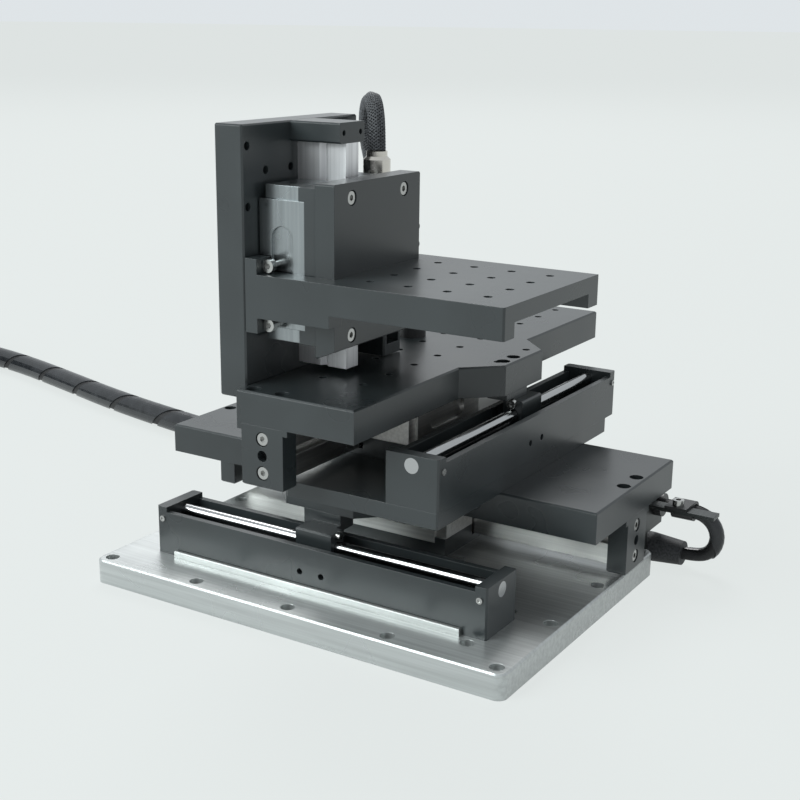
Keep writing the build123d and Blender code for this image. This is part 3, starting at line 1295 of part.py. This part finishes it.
save("z_back_plate", z_back_plate())
save("z_plate_screws", [screw * Pos(0, 0, -COUNTERBORE_DEPTH) * small_screw(
    Z_PLATE_THICK - COUNTERBORE_DEPTH + THREAD_DEPTH - EDGE_BREAK)
    for screw in z_plate_screw_places() + z_rail_screw_places()])
save("z_rail", z_rail())
save("z_top_block", z_top_block())
save("z_motor_housing", z_motor_housing())
save("z_magnet_shaft", z_magnet_shaft())
save("z_connector", z_connector())
save("lift_gland", lift_gland())

save("z_saddle", cut_carriage_seats(place(Z_GUIDE, guide_saddle())))
save("z_bearing_block", [cut_side_seats(cut_carriage_seats(cheek)) for cheek in place(Z_GUIDE, guide_cheeks())])
save("z_bearing_end_caps", [cut_carriage_seats(cap) for cap in place(Z_GUIDE, guide_caps())])
save("z_rollers", place(Z_GUIDE, guide_rollers()))
save("z_roller_cages", place(Z_GUIDE, guide_cages()))
save("z_carriage_plate", carriage_plate())
save("z_carriage_screws", carriage_screw_set() + platform_screw_set() + side_screw_set())
save("platform", platform())
save("z_slider", z_slider())
save("z_drive_arm", [z_drive_arm()] + z_arm_screw_set())

save("cable_bracket", cable_bracket())
save("lead_gland", lead_gland())
save("lead_clip", lead_clip())
save("loop_lead", cord_tube("loop_lead", LOOP_ROUTE, LOOP_LEAD))
save("harness_boot", harness_boot())
save("harness", cord_tube("harness", HARNESS_ROUTE, HARNESS))
save("harness_coil", harness_coil())
save("harness_plug", harness_plug())
save("lift_lead", cord_tube("lift_lead", lift_route(), LIFT_LEAD))
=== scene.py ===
"""Looks of a three-axis linear translation stage: finishes, wrapped and braided leads, light and camera."""
import json
from bisect import bisect_right
from math import cos, pi, sin, tau

import bpy
from mathutils import Matrix, Vector


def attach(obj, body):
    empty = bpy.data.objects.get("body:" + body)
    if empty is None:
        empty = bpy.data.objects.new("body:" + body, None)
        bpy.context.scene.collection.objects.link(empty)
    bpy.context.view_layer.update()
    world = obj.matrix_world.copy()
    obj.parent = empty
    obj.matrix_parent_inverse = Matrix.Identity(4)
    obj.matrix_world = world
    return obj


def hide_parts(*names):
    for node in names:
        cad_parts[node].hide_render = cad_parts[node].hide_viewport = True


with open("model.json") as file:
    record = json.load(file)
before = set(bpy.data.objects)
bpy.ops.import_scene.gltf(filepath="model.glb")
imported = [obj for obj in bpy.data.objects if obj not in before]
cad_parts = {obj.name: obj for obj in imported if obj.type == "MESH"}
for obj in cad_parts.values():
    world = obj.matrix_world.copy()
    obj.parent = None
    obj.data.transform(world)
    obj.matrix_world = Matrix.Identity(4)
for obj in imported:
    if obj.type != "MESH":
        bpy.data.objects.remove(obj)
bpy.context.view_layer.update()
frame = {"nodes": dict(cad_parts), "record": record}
MM = 0.001

# ---------------------------------------------------------------- camera, from the photo's perspective
CAMERA_PLACE = Vector((224.63, -348.82, 177.61)) * MM
CAMERA_RIGHT = Vector((0.84740654, 0.53082011, 0.01149632))
CAMERA_UP = Vector((-0.15301187, 0.22342121, 0.96263717))
FOCAL_PIXELS = 1347.8
IMAGE_PIXELS = 800
SENSOR = 36.0


def add_camera():
    """Camera with the place, turn and focal length of the photograph's."""
    data = bpy.data.cameras.new("photo_camera")
    data.sensor_width = SENSOR
    data.lens = FOCAL_PIXELS / IMAGE_PIXELS * SENSOR
    data.clip_start = 0.01
    camera = bpy.data.objects.new("photo_camera", data)
    back = CAMERA_RIGHT.cross(CAMERA_UP)
    turn = Matrix((CAMERA_RIGHT, CAMERA_UP, back)).transposed()
    camera.matrix_world = Matrix.Translation(CAMERA_PLACE) @ turn.to_4x4()
    bpy.context.scene.collection.objects.link(camera)
    bpy.context.scene.camera = camera


add_camera()

# ---------------------------------------------------------------- cord routes, in millimetres
HARNESS_DIAMETER = 10.0
LOOP_DIAMETER = 5.0
LIFT_DIAMETER = 6.0
LOOP_ROUTE = [
    (74.0, 63.5, 21.1),
    (80.6, 63.4, 21.2),
    (87.4, 63.5, 21.0),
    (91.7, 63.6, 18.0),
    (93.4, 63.8, 13.0),
    (91.8, 64.0, 8.0),
    (87.4, 64.2, 5.1),
    (81.5, 64.35, 5.0),
]
HARNESS_ROUTE = [
    (66.0, 64.6, 5.0),
    (36.0, 65.6, 5.0),
    (-6.0, 68.4, 5.0),
    (-54.0, 71.5, 5.0),
    (-104.0, 77.5, 5.0),
    (-156.0, 86.0, 5.0),
    (-208.0, 96.5, 5.0),
    (-258.0, 111.0, 5.0),
    (-298.0, 121.5, 5.0),
    (-332.0, 126.5, 5.0),
]
LIFT_ROUTE = [
    (-7.4, 8.9, 138.6),
    (-7.7, 9.2, 145.2),
    (-10.0, 11.9, 151.0),
    (-14.1, 16.5, 153.6),
    (-18.6, 21.7, 152.4),
    (-22.3, 25.9, 147.6),
    (-24.0, 28.9, 139.6),
    (-22.2, 31.4, 127.6),
    (-16.6, 34.6, 111.8),
    (-11.3, 36.1, 97.4),
    (-10.5, 36.0, 82.0),
]
COIL_CENTRE = (-372.0, 70.0)
COIL_ENTRY = (-352.0, 127.0, 5.0)
COIL_RADII = (57.0, 47.0, 47.0, 57.0)
COIL_HEIGHTS = (5.0, 5.0, 15.0, 15.0)
COIL_STEPS = 16
COIL_HALF_TURNS = 7
COIL_CHANGE = 0.75
PLUG_APPROACH = (-360.0, 13.0, 10.0)
PLUG_ENTRY = (-350.0, 13.0, 7.5)

# ---------------------------------------------------------------- wrap and braid, in millimetres
WRAP_THICK = 0.45
WRAP_STEPS = 28
WRAP_STRIPS = 8
WRAP_END = 4.0
HARNESS_PITCH = 34.0
HARNESS_BAND = 30.0
SLEEVE_LENGTH = 75.0
LOOP_PITCH = 16.0
LOOP_BAND = 15.2
LOOP_END = 0.5
LIFT_COVER = 0.6

# As shares of a thread's thickness.
BRAID_WAVE = 0.35
BRAID_WIDTH = 1.5


def coil_points():
    """Turns of the put-away length: an outer and an inner ring on the floor, and the same on top of them."""
    points = []
    for step in range(1, COIL_HALF_TURNS * COIL_STEPS // 2 + 1):
        turns = step / COIL_STEPS
        angle = pi / 2 + tau * turns
        place = min(turns, len(COIL_RADII) - 1.0)
        before = int(place)
        after = min(before + 1, len(COIL_RADII) - 1)
        share = max(0.0, (place - before - COIL_CHANGE) / (1 - COIL_CHANGE))
        radius = COIL_RADII[before] * (1 - share) + COIL_RADII[after] * share
        height = COIL_HEIGHTS[before] * (1 - share) + COIL_HEIGHTS[after] * share
        points.append((COIL_CENTRE[0] + radius * cos(angle), COIL_CENTRE[1] + radius * sin(angle), height))
    return points


def cord_curve(name, route, diameter, body):
    """Smooth cord: a NURBS spline that takes the route's points as its control points."""
    curve = bpy.data.curves.new(name, "CURVE")
    curve.dimensions = "3D"
    curve.bevel_depth = 1.0  # so that a point's radius is the cord's own
    curve.bevel_resolution = 5
    curve.use_fill_caps = True
    spline = curve.splines.new("NURBS")
    spline.points.add(len(route) - 1)
    for point, place in zip(spline.points, route):
        point.co = (*(Vector(place) * MM), 1.0)
        point.radius = diameter / 2 * MM
    spline.order_u = 3
    spline.use_endpoint_u = True
    spline.resolution_u = 10
    cord = bpy.data.objects.new(name, curve)
    bpy.context.scene.collection.objects.link(cord)
    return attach(cord, body)


def cord_line(cord):
    """Points along a cord's middle, read from its own spline."""
    data = cord.data.copy()
    data.bevel_depth = 0.0
    bare = bpy.data.objects.new("line_reader", data)
    bpy.context.scene.collection.objects.link(bare)
    bpy.context.view_layer.update()
    mesh = bpy.data.meshes.new_from_object(bare.evaluated_get(bpy.context.evaluated_depsgraph_get()))
    points = [vertex.co.copy() for vertex in mesh.vertices]
    bpy.data.objects.remove(bare)
    bpy.data.curves.remove(data)
    bpy.data.meshes.remove(mesh)
    return points


class Line:
    """A cord's middle line with a steady frame along it, asked by distance in metres."""

    def __init__(self, points):
        self.points = points
        self.marks = [0.0]
        for before, after in zip(points, points[1:]):
            self.marks.append(self.marks[-1] + (after - before).length)
        self.length = self.marks[-1]
        self.sides = []
        side = None
        for index in range(len(points)):
            tangent = self.tangent(index)
            if side is None:
                side = tangent.orthogonal().normalized()
            side = (side - tangent * side.dot(tangent)).normalized()
            self.sides.append(side)

    def tangent(self, index):
        """Direction of the line at one of its points."""
        first = max(index - 1, 0)
        last = min(index + 1, len(self.points) - 1)
        return (self.points[last] - self.points[first]).normalized()

    def at(self, distance):
        """Place, sideways and upward directions at a distance along the line."""
        distance = min(max(distance, 0.0), self.length)
        index = min(bisect_right(self.marks, distance), len(self.marks) - 1)
        before = index - 1
        step = self.marks[index] - self.marks[before]
        share = (distance - self.marks[before]) / step if step else 0.0
        place = self.points[before].lerp(self.points[index], share)
        tangent = self.tangent(before).lerp(self.tangent(index), share).normalized()
        side = self.sides[before].lerp(self.sides[index], share)
        side = (side - tangent * side.dot(tangent)).normalized()
        return place, side, tangent.cross(side)


def mesh_piece(name, vertices, faces, body, smooth=True):
    """Mesh object that rides on a body."""
    mesh = bpy.data.meshes.new(name)
    mesh.from_pydata(vertices, [], faces)
    mesh.validate()
    mesh.shade_smooth() if smooth else mesh.shade_flat()
    piece = bpy.data.objects.new(name, mesh)
    bpy.context.scene.collection.objects.link(piece)
    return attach(piece, body)


def strip_along(line, path, section):
    """Vertices and faces of a section carried along a path of (distance, angle, radius)."""
    vertices = []
    for distance, angle, radius in path:
        for along, out in section:
            place, side, up = line.at(distance + along)
            vertices.append(place + (side * cos(angle) + up * sin(angle)) * (radius + out))
    count = len(section)
    faces = []
    for row in range(len(path) - 1):
        for item in range(count):
            after = (item + 1) % count
            low, high = row * count, (row + 1) * count
            faces.append((low + item, low + after, high + after, high + item))
    faces.append(tuple(range(count))[::-1])
    faces.append(tuple(range((len(path) - 1) * count, len(path) * count)))
    return vertices, faces


# Start and end are metres along the line, and the other sizes are millimetres.
def spiral_wrap(name, line, start, end, diameter, pitch, width, body):
    """Flat plastic band wound round a cord with a narrow gap between its turns."""
    thick = WRAP_THICK * MM
    radius = diameter / 2 * MM - thick
    half = width / 2 * MM
    across = [(2 * strip / WRAP_STRIPS - 1) * half for strip in range(WRAP_STRIPS + 1)]
    section = [(along, 0.0) for along in across] + [(along, thick) for along in reversed(across)]
    first, last = start + half, end - half
    steps = int((last - first) / (pitch * MM) * WRAP_STEPS)
    path = [(first + (last - first) * step / steps, -tau * step / WRAP_STEPS, radius)
            for step in range(steps + 1)]
    return mesh_piece(name, *strip_along(line, path, section), body, smooth=False)


def braid(name, line, start, end, diameter, strands, pitch, thickness, body):
    """Braided sleeve: threads wound both ways that pass over and under each other."""
    vertices, faces = [], []
    wave = thickness * BRAID_WAVE * MM
    radius = diameter / 2 * MM - thickness / 2 * MM - wave
    half = thickness * BRAID_WIDTH / 2 * MM
    section = [(-half, 0.0), (0.0, thickness / 2 * MM), (half, 0.0), (0.0, -thickness / 2 * MM)]
    turns = (end - start) / (pitch * MM)
    steps = max(8, int(turns * strands * 2))
    for direction in (-1, 1):
        for strand in range(strands):
            path = []
            for step in range(steps + 1):
                share = step / steps
                angle = direction * tau * turns * share + tau * strand / strands
                lift = direction * wave * sin(tau * turns * share * strands / 2 + pi * strand)
                path.append((start + (end - start) * share, angle, radius + lift))
            new_vertices, new_faces = strip_along(line, path, section)
            base = len(vertices)
            vertices += new_vertices
            faces += [tuple(base + index for index in face) for face in new_faces]
    return mesh_piece(name, vertices, faces, body)


# ---------------------------------------------------------------- cords
def add_cords():
    """Three leads with their wrap and braid."""
    loop_core = LOOP_DIAMETER - 2 * WRAP_THICK
    loop = cord_curve("loop_lead_core", LOOP_ROUTE, loop_core, "base")
    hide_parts("loop_lead")
    loop_line = Line(cord_line(loop))
    loop_wrap = spiral_wrap("loop_lead_wrap", loop_line, LOOP_END * MM, loop_line.length - LOOP_END * MM,
                            LOOP_DIAMETER, LOOP_PITCH, LOOP_BAND, "base")

    core = HARNESS_DIAMETER - 2 * WRAP_THICK
    route = HARNESS_ROUTE + [COIL_ENTRY] + coil_points() + [PLUG_APPROACH, PLUG_ENTRY]
    harness = cord_curve("harness_core", route, core, "base")
    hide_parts("harness", "harness_coil")
    line = Line(cord_line(harness))
    sleeve_end = SLEEVE_LENGTH * MM
    sleeve = braid("harness_sleeve", line, 0.0, sleeve_end, HARNESS_DIAMETER,
                   strands=14, pitch=16.0, thickness=0.5, body="base")
    wrap = spiral_wrap("harness_wrap", line, sleeve_end, line.length - WRAP_END * MM,
                       HARNESS_DIAMETER, HARNESS_PITCH, HARNESS_BAND, "base")

    lift_core = LIFT_DIAMETER - 2 * LIFT_COVER
    lift = cord_curve("lift_lead_core", LIFT_ROUTE, lift_core, "y_table")
    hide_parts("lift_lead")
    lift_line = Line(cord_line(lift))
    lift_sleeve = braid("lift_lead_sleeve", lift_line, 0.0, lift_line.length, LIFT_DIAMETER,
                        strands=12, pitch=11.0, thickness=0.42, body="y_table")

    return {"core": [loop, harness, lift], "wrap": [loop_wrap, wrap], "braid": [sleeve, lift_sleeve]}


cords = add_cords()


# ---------------------------------------------------------------- materials
NOISE_LOW = 0.2
ANODISED_IOR = 1.55
FINE_MARKS = 0.000004
BRUSH_MARKS = 0.00001


class Paint:
    """A node material under construction."""

    def __init__(self, name, colour, roughness, metallic=0.0):
        self.material = bpy.data.materials.new(name)
        self.material.use_nodes = True
        self.tree = self.material.node_tree
        self.shader = self.tree.nodes["Principled BSDF"]
        self.shader.inputs["Base Color"].default_value = (*colour, 1.0)
        self.shader.inputs["Roughness"].default_value = roughness
        self.shader.inputs["Metallic"].default_value = metallic
        self.colour = colour
        self.roughness = roughness
        self.place = self.add("ShaderNodeTexCoord").outputs["Object"]

    def add(self, kind, **settings):
        """New node of a kind, with its settings."""
        node = self.tree.nodes.new(kind)
        for key, value in settings.items():
            setattr(node, key, value)
        return node

    def link(self, source, target):
        self.tree.links.new(source, target)

    def grain(self, scale, stretch=(1, 1, 1), detail=3.0):
        """Noise value between 0 and 1, with scale in features per metre."""
        mapping = self.add("ShaderNodeMapping")
        mapping.inputs["Scale"].default_value = stretch
        self.link(self.place, mapping.inputs["Vector"])
        noise = self.add("ShaderNodeTexNoise")
        noise.inputs["Scale"].default_value = scale
        noise.inputs["Detail"].default_value = detail
        self.link(mapping.outputs["Vector"], noise.inputs["Vector"])
        return noise.outputs["Fac"]

    def ramp(self, value, low, high):
        """Spread the middle of a noise value smoothly over a range."""
        node = self.add("ShaderNodeMapRange", interpolation_type="SMOOTHSTEP")
        node.inputs["From Min"].default_value = NOISE_LOW
        node.inputs["From Max"].default_value = 1 - NOISE_LOW
        node.inputs["To Min"].default_value = low
        node.inputs["To Max"].default_value = high
        self.link(value, node.inputs["Value"])
        return node.outputs["Result"]

    def tint(self, value, dark, light):
        """Colour between two multiples of the base colour."""
        node = self.add("ShaderNodeMix", data_type="RGBA")
        self.link(self.ramp(value, 0.0, 1.0), node.inputs["Factor"])
        node.inputs["A"].default_value = (*[part * dark for part in self.colour], 1.0)
        node.inputs["B"].default_value = (*[min(part * light, 1.0) for part in self.colour], 1.0)
        self.link(node.outputs["Result"], self.shader.inputs["Base Color"])

    def rough(self, value, spread):
        """Roughness that varies by the given spread to each side."""
        self.link(self.ramp(value, self.roughness - spread, self.roughness + spread),
                  self.shader.inputs["Roughness"])

    def bump(self, value, depth, edge=0.0):
        """Relief of the given depth in metres, on edges rounded by the given radius."""
        node = self.add("ShaderNodeBump")
        node.inputs["Strength"].default_value = 1.0
        node.inputs["Distance"].default_value = depth
        self.link(value, node.inputs["Height"])
        if edge:
            bevel = self.add("ShaderNodeBevel", samples=4)
            bevel.inputs["Radius"].default_value = edge
            self.link(bevel.outputs["Normal"], node.inputs["Normal"])
        self.link(node.outputs["Normal"], self.shader.inputs["Normal"])


def anodised(name, colour, roughness=0.3):
    """Satin black anodised aluminium with a fine blasted grain."""
    paint = Paint(name, colour, roughness)
    paint.shader.inputs["IOR"].default_value = ANODISED_IOR
    fine = paint.grain(4200.0, detail=4.0)
    broad = paint.grain(45.0, detail=2.0)
    paint.tint(broad, dark=0.88, light=1.14)
    paint.rough(broad, spread=0.04)
    paint.bump(fine, depth=0.000006, edge=0.00025)
    return paint.material


def brushed(name, colour, roughness, stretch, depth=BRUSH_MARKS, metallic=1.0):
    """Metal with brush marks along the axis whose stretch is small."""
    paint = Paint(name, colour, roughness, metallic)
    marks = paint.grain(900.0, stretch=stretch, detail=5.0)
    broad = paint.grain(30.0, detail=2.0)
    paint.tint(marks, dark=0.82, light=1.08)
    paint.rough(broad, spread=0.06)
    paint.bump(marks, depth, edge=0.0003)
    return paint.material


def polished(name, colour, roughness):
    """Turned or ground metal with hardly any marks."""
    paint = Paint(name, colour, roughness, 1.0)
    marks = paint.grain(300.0, detail=2.0)
    paint.rough(marks, spread=0.04)
    paint.bump(paint.grain(2500.0), depth=0.000002)
    return paint.material


def plastic(name, colour, roughness=0.4):
    """Moulded plastic with a faint uneven sheen."""
    paint = Paint(name, colour, roughness)
    broad = paint.grain(220.0)
    paint.tint(broad, dark=0.8, light=1.25)
    paint.rough(broad, spread=0.08)
    paint.bump(paint.grain(2600.0), depth=0.00001)
    return paint.material


def thread(name, colour):
    """Woven synthetic thread, with lighter strands here and there."""
    paint = Paint(name, colour, 0.6)
    strands = paint.grain(1400.0, detail=1.0)
    paint.tint(strands, dark=0.6, light=2.6)
    paint.rough(strands, spread=0.1)
    paint.bump(paint.grain(5000.0), depth=0.00003)
    return paint.material


ALONG_X = (0.02, 1.0, 1.0)
ALONG_Y = (1.0, 0.02, 1.0)
ALONG_Z = (1.0, 1.0, 0.02)


def dress():
    """Give every node and every cord piece its finish, by slot and by the first letter of its name."""
    finishes = {
        "black_anodised": {"": anodised("black_anodised", (0.029, 0.035, 0.037))},
        "brushed_aluminium": {
            "b": brushed("brushed_aluminium", (0.56, 0.58, 0.575), 0.3, ALONG_X, FINE_MARKS, 0.7),
            "x": brushed("bar_aluminium", (0.50, 0.51, 0.50), 0.4, ALONG_X),
            "c": brushed("bracket_aluminium", (0.07, 0.075, 0.075), 0.4, ALONG_Y),
        },
        "bearing_steel": {
            "x": brushed("bearing_steel_x", (0.74, 0.73, 0.71), 0.42, ALONG_X),
            "y": brushed("bearing_steel_y", (0.74, 0.73, 0.71), 0.42, ALONG_Y),
            "z": brushed("bearing_steel_z", (0.32, 0.345, 0.355), 0.26, ALONG_Z, FINE_MARKS),
        },
        "rail_steel": {
            "x": brushed("rail_steel_x", (0.72, 0.71, 0.69), 0.32, ALONG_X),
            "y": brushed("rail_steel_y", (0.72, 0.71, 0.69), 0.32, ALONG_Y),
            "z": brushed("rail_steel_z", (0.78, 0.78, 0.79), 0.5, ALONG_Z, FINE_MARKS),
        },
        "ground_shaft": {"": polished("ground_shaft", (0.46, 0.465, 0.47), 0.15)},
        "cage_brass": {"": polished("cage_brass", (0.72, 0.55, 0.28), 0.3)},
        "screw_steel": {"": polished("screw_steel", (0.46, 0.46, 0.45), 0.24)},
        "connector_metal": {"": polished("connector_metal", (0.66, 0.63, 0.58), 0.25)},
        "gland_plastic": {
            "h": thread("boot_weave", (0.03, 0.031, 0.033)),
            "l": plastic("gland_plastic", (0.025, 0.025, 0.026)),
        },
        "braided_sleeve": {"": plastic("sleeve_plain", (0.02, 0.02, 0.022))},
    }
    for part in frame["record"]["subparts"]:
        node = frame["nodes"][part["node"]]
        family = finishes[part["material_slot"]]
        material = family.get(part["node"][0]) or family[""]
        node.data.materials.clear()
        node.data.materials.append(material)
    core = plastic("lead_core", (0.012, 0.012, 0.013), 0.6)
    wrap = plastic("wrap_plastic", (0.022, 0.024, 0.027), 0.22)
    weave = thread("braid_thread", (0.05, 0.052, 0.056))
    for kind, material in (("core", core), ("wrap", wrap), ("braid", weave)):
        for piece in cords[kind]:
            piece.data.materials.clear()
            piece.data.materials.append(material)


dress()


# ---------------------------------------------------------------- floor and light
PAPER_TONE = (0.79, 0.83, 0.82)
PAPER_LIT = (0.72, 0.75, 0.75)
PAPER_GLOW = 0.88
PAPER_HALF = 40.0
LAMP_TARGET = (0, 0, 0.05)
GLOSSY_SHARE = 0.75
ROOM_COLOUR = (0.90, 0.95, 0.98)
ROOM_STRENGTH = 0.44
ROOM_GLOW = 0.38


def seen(tree, amount):
    """The given amount where the eye or a reflection looks, and nothing where light only bounces."""
    path = tree.nodes.new("ShaderNodeLightPath")
    either = tree.nodes.new("ShaderNodeMath")
    either.operation = "MULTIPLY_ADD"
    scaled = tree.nodes.new("ShaderNodeMath")
    scaled.operation = "MULTIPLY"
    tree.links.new(path.outputs["Is Glossy Ray"], either.inputs[0])
    either.inputs[1].default_value = GLOSSY_SHARE
    tree.links.new(path.outputs["Is Camera Ray"], either.inputs[2])
    tree.links.new(either.outputs["Value"], scaled.inputs[0])
    scaled.inputs[1].default_value = amount
    return scaled.outputs["Value"]


def paper(name):
    """Plain pale paper that mostly glows to the camera and keeps a soft shadow."""
    paint = Paint(name, PAPER_LIT, 0.8)
    paint.shader.inputs["Specular IOR Level"].default_value = 0.0
    glow = paint.add("ShaderNodeEmission")
    glow.inputs["Color"].default_value = (*PAPER_TONE, 1.0)
    mix = paint.add("ShaderNodeMixShader")
    paint.link(seen(paint.tree, PAPER_GLOW), mix.inputs["Fac"])
    paint.link(paint.shader.outputs["BSDF"], mix.inputs[1])
    paint.link(glow.outputs["Emission"], mix.inputs[2])
    paint.link(mix.outputs["Shader"], paint.tree.nodes["Material Output"].inputs["Surface"])
    return paint.material


def add_room():
    """Pale floor, and an even room that looks brighter than it lights."""
    half = PAPER_HALF
    floor = mesh_stage("floor", [(-half, -half, 0), (half, -half, 0), (half, half, 0), (-half, half, 0)])
    floor.data.materials.append(paper("paper"))
    world = bpy.data.worlds.new("room")
    world.use_nodes = True
    tree = world.node_tree
    tree.nodes["Background"].inputs["Color"].default_value = (*ROOM_COLOUR, 1.0)
    strength = tree.nodes.new("ShaderNodeMath")
    strength.operation = "ADD"
    tree.links.new(seen(tree, ROOM_GLOW), strength.inputs[0])
    strength.inputs[1].default_value = ROOM_STRENGTH
    tree.links.new(strength.outputs["Value"], tree.nodes["Background"].inputs["Strength"])
    bpy.context.scene.world = world


def mesh_stage(name, vertices):
    """Four-cornered plane, linked to the scene and attached to none of the object's bodies."""
    mesh = bpy.data.meshes.new(name)
    mesh.from_pydata(vertices, [], [(0, 1, 2, 3)])
    piece = bpy.data.objects.new(name, mesh)
    bpy.context.scene.collection.objects.link(piece)
    return piece


def add_lamp(name, place, size, power, colour):
    """Round soft lamp that faces the object."""
    data = bpy.data.lights.new(name, "AREA")
    data.shape = "DISK"
    data.size = size
    data.energy = power
    data.color = colour
    lamp = bpy.data.objects.new(name, data)
    direction = Vector(LAMP_TARGET) - Vector(place)
    lamp.location = place
    lamp.rotation_euler = direction.to_track_quat("-Z", "Y").to_euler()
    bpy.context.scene.collection.objects.link(lamp)


add_room()
add_lamp("key", (-0.7, -1.1, 0.9), size=1.1, power=19.0, colour=(0.93, 1.0, 1.0))
add_lamp("rear", (-1.2, 1.6, 2.2), size=1.6, power=42.0, colour=(1.0, 1.0, 1.0))
bpy.context.scene.view_settings.view_transform = "Standard"

bpy.context.view_layer.update()
